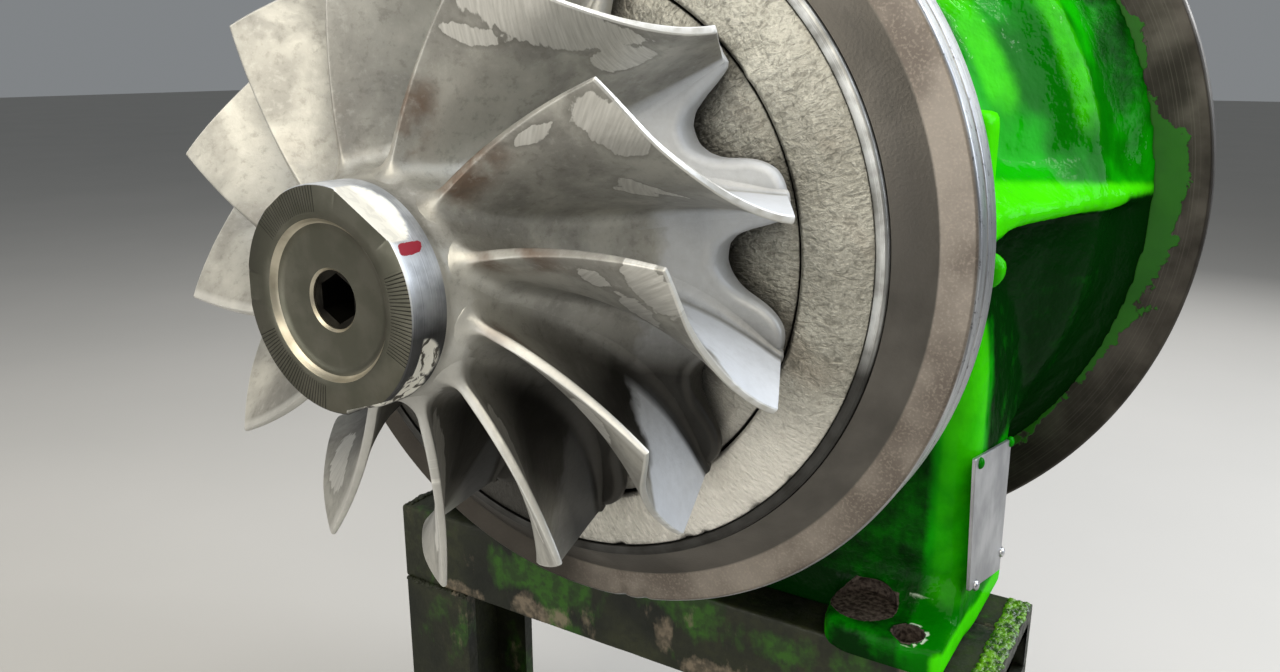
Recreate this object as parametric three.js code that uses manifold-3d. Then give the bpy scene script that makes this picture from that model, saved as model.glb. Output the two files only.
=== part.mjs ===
// Core of a turbocharger on its workshop stand: turbine wheel and shaft, heat shield, turbine-side
// rings, bearing housing with its pedestal, compressor-side flange, and a stand of angle iron.
// Millimetres, +Z up. The rotor lies along Y with the wheel's nose at the front, towards -Y.
import * as THREE from "three";
import { mergeVertices } from "three/addons/utils/BufferGeometryUtils.js";
import Module from "manifold-3d";

const wasm = await Module();
wasm.setup();

// Driving dimensions. A "station" is a distance behind the wheel's nose face.
const OVERALL_LENGTH = 470;
const AXIS_HEIGHT = 430;
const ROUND_STEPS = 48;
const SEAT_GAP = 0.3;

const BLADES = 12;
const FIRST_BLADE = 21.2; // clock angle of a blade's exducer tip, from +Z towards +X
const BLADE_WRAP = 27.2; // turn of the shroud edge between exducer tip and inducer tip
const HUB_LAG = 11; // the exducer edge trails its tip by this angle at the hub
const EXDUCER_STATION = 30;
const EXDUCER_RADIUS = 117.5;
const INDUCER_STATION = 88;
const INDUCER_RADIUS = 134;
const ROOT_THICKNESS = 8;
const TIP_THICKNESS = 3;
const NOSE_RADIUS = 40;
const NOSE_LENGTH = 18;
const NOSE_RECESS = 28.4;
const SOCKET_RADIUS = 10.4;
const SOCKET_DEPTH = 14;
const HEX_RADIUS = 8.6;
const HEX_DEPTH = 26;
const BALANCE_CUTS = [
  { clock: 32.5, distance: 36.9, flat: 8.5 },
  { clock: 122.7, distance: 37.5, flat: 9 },
  { clock: 166.5, distance: 38.1, flat: 5 },
]; // flats milled into the nose's edge: clock angle, distance from the axis and length
const BALANCE_RAMP = 4.5;
const DISC_RADIUS = 119;
const DISC_FRONT = 117.5;
const DISC_BACK = 123.7;
const SCALLOP_RADIUS = 91;
const WHEEL_BOSS_RADIUS = 30;
const WHEEL_BOSS_END = 137;

const SHAFT_RADIUS = 22;
const THREAD_RADIUS = 12;
const SLEEVE_RADIUS = 30;
const BEARING_SEAT = 30;
const BEARING_LENGTH = 48;
const BEARING_STATIONS = { front: 182, rear: 302 };

const SHIELD_RADIUS = 115;
const NOZZLE_HOLE = 117.6;
const STEP_INNER = 145;
const STEP_OUTER = 150;
const VALLEY_RADIUS = 165;
const VALLEY_STATION = 150;
const RIM_RADIUS = 180;
const RIM_STATION = 150;
const RIM_BACK = 175;
const SEAT_STATION = 152; // back of the two inner rings, on the housing's front shoulder

const BODY_RADIUS = 150;
const BODY_END = 394.7;
const PEDESTAL_HALF_WIDTH = 168;
const PEDESTAL_FRONT = 235;
const PEDESTAL_BACK = 314;
const PEDESTAL_CORNER = 15;
const STAND_DROP = 205; // stand top below the rotor axis
const FOOT_HEIGHT = 18;
const FOOT_LUGS = [
  { outer: 168, inner: 105, front: 197, nose: 14 },
  { outer: -163, inner: -105, front: 221, nose: -10 },
];
const RIB_LOW = 4;
const RIB_HIGH = 14;
const RIB_EDGE_BACK = 216;
// Where the rib's sloping root starts on the bell body: station, x and z.
const RIB_ROOT = [
  [190, 152, 30],
  [235, 150, 30],
  [285, 155, 30],
  [308, 168, 30],
  [328, 184, 30],
  [342, 193, 29],
  [366, 197, 27],
  [381, 204, 24],
  [394.6, 211, 19],
];

const FLANGE_RADIUS = 242;
const FLANGE_THICKNESS = 16;
const SEAL_PLATE_RADIUS = 120;

const STAND_HALF_WIDTH = 190;
const STAND_FRONT = 212;
const STAND_BACK = 300;
const FRONT_ANGLE = 52;
const REAR_ANGLE = 35;
const ANGLE_WALL = 8;

const NOSE_Y = -OVERALL_LENGTH / 2;

// Finishes
const CAST_ALLOY = { color: "#8f8c86", roughness: 0.42, metalness: 1 };
const MACHINED_STEEL = { color: "#9b9a96", roughness: 0.3, metalness: 1 };
const ROUGH_CAST = { color: "#857d74", roughness: 0.6, metalness: 1 };
const TINTED_CAST = { color: "#6f655d", roughness: 0.5, metalness: 1 };
const BARE_FLANGE = { color: "#5a544e", roughness: 0.45, metalness: 1 };
const GREEN_ENAMEL = { color: "#1f9a12", roughness: 0.2, metalness: 0 };
const WORN_GREEN = { color: "#5b6b45", roughness: 0.5, metalness: 0.3 };
const BEARING_BRONZE = { color: "#a8864a", roughness: 0.35, metalness: 1 };
const PLATE_METAL = { color: "#b0b0ae", roughness: 0.35, metalness: 1 };

// Turns a closed three.js geometry into a solid.
function solidOf(geometry) {
  const bare = new THREE.BufferGeometry();
  bare.setAttribute("position", geometry.getAttribute("position"));
  if (geometry.index) bare.setIndex(geometry.index);
  const merged = mergeVertices(bare, 1e-4);
  const corners = [];
  for (let i = 0; i < merged.index.count; i += 3) {
    const [a, b, c] = [0, 1, 2].map((k) => merged.index.getX(i + k));
    if (a !== b && b !== c && c !== a) corners.push(a, b, c);
  }
  return new wasm.Manifold(
    new wasm.Mesh({
      numProp: 3,
      vertProperties: merged.attributes.position.array,
      triVerts: new Uint32Array(corners),
    }),
  );
}

// Turns a solid back into a geometry.
function geometryOf(solid) {
  const mesh = solid.getMesh();
  const geometry = new THREE.BufferGeometry();
  geometry.setAttribute("position", new THREE.BufferAttribute(mesh.vertProperties, 3));
  geometry.setIndex(new THREE.BufferAttribute(mesh.triVerts, 1));
  return geometry;
}

function joined(solids) {
  return solids.reduce((whole, piece) => whole.add(piece));
}

// Revolves a closed outline of [radius, station] points about the rotor axis.
function turned(outline, steps = ROUND_STEPS) {
  const points = outline.map(([radius, station]) => new THREE.Vector2(radius, station));
  if (outline[0][0] > 0) points.push(points[0].clone());
  return new THREE.LatheGeometry(points, steps);
}

// A closed outline of [x, z] points drawn out along the rotor between two stations.
function alongRotor(outline, front, back) {
  const shape = new THREE.Shape(outline.map(([x, z]) => new THREE.Vector2(x, z)));
  const geometry = new THREE.ExtrudeGeometry(shape, { depth: back - front, bevelEnabled: false });
  geometry.rotateX(Math.PI / 2);
  return geometry.translate(0, back, 0);
}

// A closed outline of [station, z] points drawn out across the rotor, half of it on each side.
function acrossRotor(outline, halfWidth) {
  const shape = new THREE.Shape(outline.map(([station, z]) => new THREE.Vector2(station, z)));
  const bar = new THREE.ExtrudeGeometry(shape, { depth: 2 * halfWidth, bevelEnabled: false });
  bar.rotateX(Math.PI / 2).rotateZ(Math.PI / 2);
  return bar.translate(-halfWidth, 0, 0);
}

// A plan shape in X and station drawn upwards between two heights.
function upwards(shape, low, high, curveSegments = 6) {
  const settings = { depth: high - low, bevelEnabled: false, curveSegments };
  return new THREE.ExtrudeGeometry(shape, settings).translate(0, 0, low);
}

function box(x0, x1, y0, y1, z0, z1) {
  const geometry = new THREE.BoxGeometry(x1 - x0, y1 - y0, z1 - z0);
  return geometry.translate((x0 + x1) / 2, (y0 + y1) / 2, (z0 + z1) / 2);
}

function mesh(name, geometry, finish) {
  const made = new THREE.Mesh(geometry, new THREE.MeshStandardMaterial(finish));
  made.name = name;
  return made;
}

// Turbine wheel: hub and back disc
const HUB_CURVE = new THREE.CatmullRomCurve3(
  [
    [42.5, 26],
    [44, 42],
    [48, 60],
    [57, 80],
    [72, 98],
    [90, 110],
    [106, 115.5],
    [DISC_RADIUS, DISC_FRONT],
  ].map(([radius, station]) => new THREE.Vector3(radius, station, 0)),
);
const SHROUD_CURVE = new THREE.CatmullRomCurve3(
  [
    [EXDUCER_RADIUS, EXDUCER_STATION],
    [117, 44],
    [120.5, 60],
    [126.5, 75],
    [INDUCER_RADIUS, INDUCER_STATION],
  ].map(([radius, station]) => new THREE.Vector3(radius, station, 0)),
);

function wheelHub() {
  const flank = HUB_CURVE.getPoints(8).map((p) => [p.x, p.y]);
  const blank = solidOf(
    turned([
      [0, SOCKET_DEPTH],
      [SOCKET_RADIUS, SOCKET_DEPTH],
      [SOCKET_RADIUS, 0.8],
      [NOSE_RECESS - 0.8, 0.8],
      [NOSE_RECESS, 0],
      [NOSE_RADIUS - 1.2, 0],
      [NOSE_RADIUS, 1.2],
      [NOSE_RADIUS, NOSE_LENGTH],
      ...flank,
      [DISC_RADIUS, DISC_BACK],
      [WHEEL_BOSS_RADIUS + 14, DISC_BACK + 0.6],
      [WHEEL_BOSS_RADIUS, DISC_BACK + 6],
      [WHEEL_BOSS_RADIUS, WHEEL_BOSS_END],
      [0, WHEEL_BOSS_END],
    ]),
  );
  const hex = new THREE.CylinderGeometry(HEX_RADIUS, HEX_RADIUS, HEX_DEPTH, 6);
  const socket = solidOf(hex.translate(0, HEX_DEPTH / 2, 0));
  return BALANCE_CUTS.reduce((hub, cut) => hub.subtract(balanceCut(cut)), blank.subtract(socket));
}

// Metal milled off the nose's edge: a flat from the front, then a ramp out to the surface.
function balanceCut({ clock, distance, flat }) {
  const clear = NOSE_RADIUS + 0.5;
  const outline = [
    [-1, distance],
    [flat, distance],
    [flat + BALANCE_RAMP, clear],
    [-1, clear],
  ];
  return solidOf(acrossRotor(outline, NOSE_RADIUS / 2)).rotate([0, clock, 0]);
}

// The blade's camber surface: stream runs from exducer to inducer, span from hub to shroud.
function camber(stream, span) {
  const hub = HUB_CURVE.getPoint(stream);
  const shroud = SHROUD_CURVE.getPoint(stream);
  const sweep = 1.75 * stream - 0.75 * stream * stream;
  const hubAngle = -HUB_LAG + (BLADE_WRAP + HUB_LAG - 2) * sweep;
  const angle = THREE.MathUtils.lerp(hubAngle, BLADE_WRAP * sweep, span);
  const radius = THREE.MathUtils.lerp(hub.x, shroud.x, span);
  const station = THREE.MathUtils.lerp(hub.y, shroud.y, span);
  const turn = THREE.MathUtils.degToRad(angle);
  return new THREE.Vector3(radius * Math.sin(turn), station, radius * Math.cos(turn));
}

// One blade: a block of stream, span and thickness bent onto the camber surface.
function blade() {
  const block = new THREE.BoxGeometry(1, 1, 1, 6, 3, 1);
  const place = block.getAttribute("position");
  const step = 0.01;
  for (let i = 0; i < place.count; i++) {
    const stream = THREE.MathUtils.clamp(place.getX(i) + 0.5, step, 1 - step);
    const span = THREE.MathUtils.lerp(-0.05, 1, place.getY(i) + 0.5);
    const along = camber(stream + step, span).sub(camber(stream - step, span));
    const across = camber(stream, span + step).sub(camber(stream, span - step));
    const normal = along.cross(across).normalize();
    const thickness = THREE.MathUtils.lerp(ROOT_THICKNESS, TIP_THICKNESS, Math.max(span, 0) ** 0.6);
    const point = camber(place.getX(i) + 0.5, span).addScaledVector(normal, place.getZ(i) * thickness);
    place.setXYZ(i, point.x, point.y, point.z);
  }
  return block;
}

// The scallop between two blades: radius and angle past the lobe's centre line.
function scallop() {
  const edge = [
    [132, 3.4],
    [112, 3.8],
    [98, 5.0],
    [92, 8],
    [SCALLOP_RADIUS - 0.5, 11.5],
    [93.4, 15.1],
    [99, 17.7],
    [107, 19.6],
    [116, 22.4],
    [132, 28],
  ].map(([radius, angle]) => {
    const turn = THREE.MathUtils.degToRad(angle + BLADE_WRAP - 2.2);
    return [radius * Math.sin(turn), radius * Math.cos(turn)];
  });
  return solidOf(alongRotor(edge, DISC_FRONT - 16, DISC_BACK + 4));
}

function turbineWheel() {
  const oneBlade = solidOf(blade());
  const oneScallop = scallop();
  let wheel = wheelHub();
  const angles = Array.from({ length: BLADES }, (_, i) => FIRST_BLADE + (360 / BLADES) * i);
  for (const angle of angles) wheel = wheel.subtract(oneScallop.rotate([0, angle, 0]));
  for (const angle of angles) wheel = wheel.add(oneBlade.rotate([0, angle, 0]));
  return geometryOf(wheel);
}

function rotor() {
  const group = new THREE.Group();
  group.add(mesh("turbine_wheel", turbineWheel(), CAST_ALLOY));
  const shaft = turned([
    [0, WHEEL_BOSS_END + SEAT_GAP],
    [SHAFT_RADIUS + 4, WHEEL_BOSS_END + SEAT_GAP],
    [SHAFT_RADIUS + 4, 168],
    [SHAFT_RADIUS, 170],
    [SHAFT_RADIUS, 420],
    [17, 421],
    [17, 440],
    [THREAD_RADIUS, 441],
    [THREAD_RADIUS, OVERALL_LENGTH - 1.5],
    [THREAD_RADIUS - 1.5, OVERALL_LENGTH],
    [0, OVERALL_LENGTH],
  ], 36);
  group.add(mesh("rotor_shaft", shaft, MACHINED_STEEL));
  const sleeve = turned([
    [SHAFT_RADIUS + SEAT_GAP, 396],
    [SLEEVE_RADIUS, 396],
    [SLEEVE_RADIUS, 416],
    [SLEEVE_RADIUS - 2, 418],
    [SHAFT_RADIUS + SEAT_GAP, 418],
  ], 36);
  group.add(mesh("seal_sleeve", sleeve, MACHINED_STEEL));
  return group;
}

// Rings on the turbine side
function turbineSide() {
  const group = new THREE.Group();
  const shield = turned([
    [WHEEL_BOSS_RADIUS + 3, 132.5],
    [70, 131.2],
    [110, 130.6],
    [SHIELD_RADIUS, 132.5],
    [SHIELD_RADIUS, 139],
    [WHEEL_BOSS_RADIUS + 3, 139],
  ]);
  group.add(mesh("heat_shield", shield, ROUGH_CAST));
  const nozzleRing = turned([
    [NOZZLE_HOLE, 130.4],
    [NOZZLE_HOLE + 1.4, 129.2],
    [STEP_INNER, 136.6],
    [STEP_INNER, SEAT_STATION],
    [NOZZLE_HOLE, SEAT_STATION],
  ]);
  group.add(mesh("nozzle_back_ring", nozzleRing, ROUGH_CAST));
  const stepRing = turned([
    [STEP_INNER + SEAT_GAP, 135.4],
    [STEP_OUTER - 1, 135.4],
    [STEP_OUTER, 136.4],
    [STEP_OUTER, SEAT_STATION],
    [STEP_INNER + SEAT_GAP, SEAT_STATION],
  ]);
  group.add(mesh("locating_ring", stepRing, MACHINED_STEEL));
  const flange = turned([
    [STEP_OUTER + SEAT_GAP, 138],
    [VALLEY_RADIUS, VALLEY_STATION],
    [RIM_RADIUS - 1.6, RIM_STATION],
    [RIM_RADIUS, RIM_STATION + 1.6],
    [RIM_RADIUS, 160],
    [RIM_RADIUS - 1.5, 160.6],
    [RIM_RADIUS - 1.5, 162],
    [RIM_RADIUS, 162.6],
    [RIM_RADIUS, RIM_BACK],
    [STEP_OUTER + SEAT_GAP, RIM_BACK],
  ]);
  group.add(mesh("turbine_flange", flange, TINTED_CAST));
  return group;
}

// Bearing housing: bell body, pedestal, foot lugs and ribs in one casting
function bellBody() {
  const { front, rear } = BEARING_STATIONS;
  return solidOf(
    turned([
      [WHEEL_BOSS_RADIUS + 2, 139 + SEAT_GAP],
      [SHIELD_RADIUS, 139 + SEAT_GAP],
      [SHIELD_RADIUS, SEAT_STATION + SEAT_GAP],
      [STEP_OUTER, SEAT_STATION + SEAT_GAP],
      [STEP_OUTER, RIM_BACK + SEAT_GAP],
      [172, RIM_BACK + SEAT_GAP],
      [172, 181],
      [158, 187],
      [BODY_RADIUS + 1, 196],
      [BODY_RADIUS, 250],
      [157, 285],
      [170, 308],
      [186, 328],
      [195, 342],
      [196, 352],
      [199, 366],
      [206, 381],
      [215, BODY_END],
      [48, BODY_END],
      [48, rear + BEARING_LENGTH],
      [BEARING_SEAT, rear + BEARING_LENGTH],
      [BEARING_SEAT, rear],
      [BEARING_SEAT + 6, rear],
      [BEARING_SEAT + 6, front + BEARING_LENGTH],
      [BEARING_SEAT, front + BEARING_LENGTH],
      [BEARING_SEAT, front],
      [WHEEL_BOSS_RADIUS + 2, front - 1],
    ]),
  );
}

// Plan of the pedestal with its two rounded front corners.
function pedestalPlan() {
  const [w, f, b, c] = [PEDESTAL_HALF_WIDTH, PEDESTAL_FRONT, PEDESTAL_BACK, PEDESTAL_CORNER];
  const plan = new THREE.Shape();
  plan.moveTo(-w, b);
  plan.lineTo(-w, f + c);
  plan.absarc(-w + c, f + c, c, Math.PI, 1.5 * Math.PI);
  plan.lineTo(w - c, f);
  plan.absarc(w - c, f + c, c, 1.5 * Math.PI, 2 * Math.PI);
  plan.lineTo(w, b);
  return plan;
}

// Plan of a foot lug, with its rounded inner nose.
function lugPlan({ outer, inner, front, nose }) {
  const plan = new THREE.Shape();
  plan.moveTo(outer, PEDESTAL_FRONT + 30);
  plan.lineTo(outer, front);
  plan.lineTo(inner + nose, front);
  plan.quadraticCurveTo(inner, front, inner, front + Math.abs(nose));
  plan.lineTo(inner, PEDESTAL_FRONT + 30);
  return plan;
}

// Plan of a side rib, which spreads from the pedestal to the rear flange.
function ribPlan(side) {
  return new THREE.Shape(
    [
      [120, RIM_BACK + 8],
      [PEDESTAL_HALF_WIDTH, RIM_BACK + 8],
      [PEDESTAL_HALF_WIDTH, PEDESTAL_FRONT],
      [RIB_EDGE_BACK, BODY_END],
      [120, BODY_END],
    ].map(([x, station]) => new THREE.Vector2(x * side, station)),
  );
}

function bearingHousing() {
  const sides = [-1, 1];
  const lugTop = FOOT_HEIGHT - STAND_DROP;
  const boss = new THREE.CylinderGeometry(27, 30, 60, 24).rotateX(Math.PI / 2);
  const pieces = [
    bellBody(),
    solidOf(upwards(pedestalPlan(), SEAT_GAP - STAND_DROP, 2)).subtract(shaftWay()),
    ...FOOT_LUGS.map((lug) => solidOf(upwards(lugPlan(lug), SEAT_GAP - STAND_DROP, lugTop, 4))),
    ...sides.map((side) => solidOf(upwards(ribPlan(side), RIB_LOW, RIB_HIGH))),
    ...sides.map((side) => ribRoot(side)),
    ...sides.map((side) => solidOf(frontLug(side))),
    solidOf(boss.translate(0, 245, 145)),
  ];
  return geometryOf(joined(pieces));
}

// The room that the shaft needs through the pedestal's upper part.
function shaftWay() {
  const reach = PEDESTAL_BACK + 10;
  const way = new THREE.CylinderGeometry(BODY_RADIUS - 60, BODY_RADIUS - 60, reach, 24);
  return solidOf(way.translate(0, reach / 2, 0));
}

// The x of a side rib's outer edge at a station.
function ribEdge(station) {
  const along = Math.max(0, (station - PEDESTAL_FRONT) / (BODY_END - PEDESTAL_FRONT));
  return PEDESTAL_HALF_WIDTH + (RIB_EDGE_BACK - PEDESTAL_HALF_WIDTH) * along;
}

// The thick root above a side rib, sloping from the bell body down to the rib's edge.
function ribRoot(side) {
  const sections = RIB_ROOT.map(([station, x, z]) =>
    [[130, RIB_HIGH - 1], [ribEdge(station) - 3, RIB_HIGH - 1], [x, z], [130, z]]
      .map(([across, up]) => [across * side, station, up]),
  );
  const bays = sections.slice(1).map((section, i) => wasm.Manifold.hull([...sections[i], ...section]));
  return joined(bays);
}

// A short clamp lug high on the front collar.
function frontLug(side) {
  const [near, far] = side > 0 ? [140, 173.5] : [-173.5, -140];
  return box(near, far, RIM_BACK + 1, 197, RIB_HIGH - 6, 60);
}

function core() {
  const group = new THREE.Group();
  group.add(mesh("bearing_housing", bearingHousing(), GREEN_ENAMEL));
  const flangeFront = BODY_END + SEAT_GAP;
  const flange = turned([
    [SEAL_PLATE_RADIUS + SEAT_GAP, flangeFront],
    [FLANGE_RADIUS - 1.5, flangeFront],
    [FLANGE_RADIUS, flangeFront + 1.5],
    [FLANGE_RADIUS, flangeFront + FLANGE_THICKNESS],
    [170, flangeFront + FLANGE_THICKNESS],
    [168, flangeFront + FLANGE_THICKNESS - 4],
    [SEAL_PLATE_RADIUS + SEAT_GAP, flangeFront + FLANGE_THICKNESS - 4],
  ], 60);
  group.add(mesh("rear_flange", flange, BARE_FLANGE));
  const sealPlate = turned([
    [SLEEVE_RADIUS + 0.7, flangeFront],
    [SEAL_PLATE_RADIUS, flangeFront],
    [SEAL_PLATE_RADIUS, flangeFront + 9],
    [60, flangeFront + 10],
    [52, flangeFront + 15],
    [SLEEVE_RADIUS + 0.7, flangeFront + 15],
  ]);
  group.add(mesh("seal_plate", sealPlate, MACHINED_STEEL));
  for (const [name, station] of Object.entries(BEARING_STATIONS)) {
    const bush = turned([
      [SHAFT_RADIUS + SEAT_GAP, station],
      [BEARING_SEAT - SEAT_GAP, station],
      [BEARING_SEAT - SEAT_GAP, station + BEARING_LENGTH],
      [SHAFT_RADIUS + SEAT_GAP, station + BEARING_LENGTH],
    ], 36);
    group.add(mesh("journal_bearing_" + name, bush, BEARING_BRONZE));
  }
  const plateX = PEDESTAL_HALF_WIDTH + SEAT_GAP;
  const plate = box(plateX, plateX + 1.6, 234 + PEDESTAL_CORNER, 311, -188, -104);
  group.add(mesh("nameplate", plate, PLATE_METAL));
  const plug = new THREE.CylinderGeometry(16, 16, 14, 6).rotateX(Math.PI / 2);
  group.add(mesh("oil_inlet_plug", plug.translate(0, 245, 175 + 7 + SEAT_GAP), MACHINED_STEEL));
  return group;
}

// Stand of angle iron: two cross beams and four legs
function crossBeam(front, back, drop, wallAtFront) {
  const [top, low] = [0, -drop];
  const outline = wallAtFront
    ? [[front, top], [front, low], [front + ANGLE_WALL, low], [front + ANGLE_WALL, -ANGLE_WALL],
      [back, -ANGLE_WALL], [back, top]]
    : [[back, top], [front, top], [front, -ANGLE_WALL], [back - ANGLE_WALL, -ANGLE_WALL],
      [back - ANGLE_WALL, low], [back, low]];
  return acrossRotor(outline, STAND_HALF_WIDTH);
}

// A leg of angle iron: one wall faces front or back, the other lies along the stand's side.
function leg(side, corner, inward, size, height) {
  const outer = STAND_HALF_WIDTH * side;
  const across = outer - size * side;
  const wallX = outer - ANGLE_WALL * side;
  const deep = corner + size * inward;
  const wallY = corner + ANGLE_WALL * inward;
  const plan = new THREE.Shape(
    [[outer, corner], [across, corner], [across, wallY], [wallX, wallY], [wallX, deep], [outer, deep]]
      .map(([x, station]) => new THREE.Vector2(x, station)),
  );
  return upwards(plan, 0, height);
}

function stand() {
  const group = new THREE.Group();
  const top = AXIS_HEIGHT - STAND_DROP;
  const split = STAND_BACK - REAR_ANGLE;
  const frontBeam = crossBeam(STAND_FRONT, split, FRONT_ANGLE, true);
  const rearBeam = crossBeam(split + SEAT_GAP, STAND_BACK, REAR_ANGLE, false);
  group.add(mesh("front_beam", frontBeam.translate(0, 0, top), WORN_GREEN));
  group.add(mesh("rear_beam", rearBeam.translate(0, 0, top), WORN_GREEN));
  for (const [name, side] of [["left", -1], ["right", 1]]) {
    const frontTop = top - FRONT_ANGLE - SEAT_GAP;
    const rearTop = top - REAR_ANGLE - SEAT_GAP;
    const frontLeg = leg(side, STAND_FRONT, 1, FRONT_ANGLE, frontTop);
    const rearLeg = leg(side, STAND_BACK, -1, REAR_ANGLE, rearTop);
    group.add(mesh("front_leg_" + name, frontLeg, WORN_GREEN));
    group.add(mesh("rear_leg_" + name, rearLeg, WORN_GREEN));
  }
  return group;
}

const part = new THREE.Group();
const machine = new THREE.Group();
machine.add(rotor(), turbineSide(), core());
machine.position.set(0, NOSE_Y, AXIS_HEIGHT);
const trestle = stand();
trestle.position.set(0, NOSE_Y, 0);
part.add(machine, trestle);

export default part;
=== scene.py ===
"""Looks of a turbocharger core on its workshop stand.

Lengths in the classes are millimetres in the rotor's frame: x to the right, station rearwards from
the wheel's nose face, z up from the rotor's axis. Clock angles run from +z towards +x.
"""

import logging
import math
from collections.abc import Sequence
from dataclasses import dataclass
from enum import Enum
from typing import NamedTuple

import bmesh
import bpy
import numpy as np
from mathutils import Matrix, Vector


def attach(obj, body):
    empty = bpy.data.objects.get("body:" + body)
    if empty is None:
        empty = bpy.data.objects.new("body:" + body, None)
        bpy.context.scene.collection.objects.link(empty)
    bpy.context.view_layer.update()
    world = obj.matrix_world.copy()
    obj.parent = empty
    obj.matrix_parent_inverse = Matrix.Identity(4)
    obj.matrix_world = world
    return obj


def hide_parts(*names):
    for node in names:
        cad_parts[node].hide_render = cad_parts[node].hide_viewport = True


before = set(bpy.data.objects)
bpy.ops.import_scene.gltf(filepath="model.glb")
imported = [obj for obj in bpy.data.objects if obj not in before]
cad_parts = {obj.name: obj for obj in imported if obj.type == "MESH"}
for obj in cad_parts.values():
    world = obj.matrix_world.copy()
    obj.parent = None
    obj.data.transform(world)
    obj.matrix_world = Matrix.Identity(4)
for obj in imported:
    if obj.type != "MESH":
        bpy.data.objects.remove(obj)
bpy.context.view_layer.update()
log = logging.getLogger("turbocharger_core")

MM = 0.001
PER_M = 1000.0
NOSE_Y = -0.235
AXIS_Z = 0.430
Tree = bpy.types.NodeTree
Node = bpy.types.Node
Socket = bpy.types.NodeSocket
Feed = Node | Socket | float | str


class Body(Enum):
    """The rigid body that a piece moves with."""

    ROTOR = "rotor"
    CORE = "core"


def linear(code: str) -> tuple[float, float, float, float]:
    """Turns an sRGB hex colour into linear light.

    Args:
        code: Six hex digits after a hash.

    Returns:
        Red, green, blue and an alpha of 1.
    """
    parts = [int(code[i : i + 2], 16) / 255 for i in (1, 3, 5)]
    red, green, blue = (c / 12.92 if c <= 0.04045 else ((c + 0.055) / 1.055) ** 2.4 for c in parts)
    return (red, green, blue, 1.0)


def add(tree: Tree, kind: str, inputs: dict | None = None, **settings) -> Node:
    """Adds a node, with its settings, its values and the links into it.

    Args:
        tree: The node tree that gets the node.
        kind: The node's type name, which may leave out a leading ShaderNode.
        inputs: Socket name or number to a value, a colour code, or the socket or node that feeds it.
        settings: The node's own properties.

    Returns:
        The new node.
    """
    node = tree.nodes.new(kind if "Node" in kind else f"ShaderNode{kind}")
    for name, value in settings.items():
        setattr(node, name, value)
    for key, value in (inputs or {}).items():
        if isinstance(value, Node):
            value = next(socket for socket in value.outputs if socket.enabled)
        if isinstance(value, str) and value.startswith("#"):
            value = linear(value)
        if isinstance(value, Socket):
            tree.links.new(value, node.inputs[key])
        else:
            node.inputs[key].default_value = value
    return node


def lay(
    tree: Tree,
    under: Feed,
    over: Feed,
    share: Feed,
    span: tuple = (),
    within: Sequence[Feed] = (),
    eased: bool = False,
) -> Node:
    """Lays one colour over another where a pattern is strong.

    Args:
        tree: The node tree.
        under: The colour that is there.
        over: The colour that goes over it.
        share: The pattern.
        span: The pattern's values where the colour starts and where it is full, and how much it then covers.
        within: Other shares that limit it.
        eased: Whether its edges fade softly.

    Returns:
        A node that gives the colour.
    """
    if span:
        start, full, most = (*span, 1.0)[:3]
        share = add(
            tree,
            "MapRange",
            {0: share, 1: start, 2: full, 4: most},
            interpolation_type="SMOOTHSTEP" if eased else "LINEAR",
        )
    for limit in within:
        share = add(tree, "Math", {0: share, 1: limit}, operation="MULTIPLY")
    return add(tree, "Mix", {0: share, 6: under, 7: over}, data_type="RGBA")


def surface(
    tree: Tree,
    colour: Feed,
    rough: Feed,
    relief: Sequence[tuple],
    sheen: dict | None = None,
) -> None:
    """Ends a material with its relief, its shader and its output.

    Args:
        tree: The node tree.
        colour: The surface's colour.
        rough: Its roughness.
        relief: Patterns, each with its height in millimetres, from the lowest layer up.
        sheen: The shader's other inputs.
    """
    given = {"Base Color": colour, "Roughness": rough, **(sheen or {})}
    for pattern, height in relief:
        below = {"Normal": given["Normal"]} if "Normal" in given else {}
        given["Normal"] = add(tree, "Bump", {"Height": pattern, "Distance": height * MM, **below})
    if "Coat Weight" in given:
        given["Coat Normal"] = given["Normal"]
    add(tree, "OutputMaterial", {"Surface": add(tree, "BsdfPrincipled", given)})


def place(points: np.ndarray) -> np.ndarray:
    """Turns points of (x, station, z) in millimetres into the frame's metres.

    Args:
        points: An array whose last axis holds the three coordinates.

    Returns:
        An array of the same shape.
    """
    return np.asarray(points, float) * MM + np.array([0.0, NOSE_Y, AXIS_Z])


def places_of(mesh: bpy.types.Mesh) -> np.ndarray:
    """Reads where a mesh's points lie.

    Args:
        mesh: The mesh.

    Returns:
        Rows of x, station and z in millimetres.
    """
    points = np.zeros(len(mesh.vertices) * 3, np.float32)
    mesh.vertices.foreach_get("co", points)
    return ((points.reshape(-1, 3) - np.array([0, NOSE_Y, AXIS_Z])) / MM).T


def store(mesh: bpy.types.Mesh, **values: np.ndarray) -> None:
    """Stores a number for each point of a mesh, by the name of what it marks.

    Args:
        mesh: The mesh.
        values: The numbers.
    """
    for name, value in values.items():
        layer = mesh.attributes.new(name, "FLOAT", "POINT")
        layer.data.foreach_set("value", value.astype(np.float32))


def smoothstep(low: float, high: float, value: np.ndarray) -> np.ndarray:
    """Eases from 0 at low to 1 at high, and falls as the value grows where low is the higher.

    Args:
        low: Where the step starts.
        high: Where the step ends.
        value: The values to ease.

    Returns:
        The eased values.
    """
    t = np.clip((np.asarray(value, float) - low) / (high - low), 0, 1)
    return t * t * (3 - 2 * t)


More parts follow.
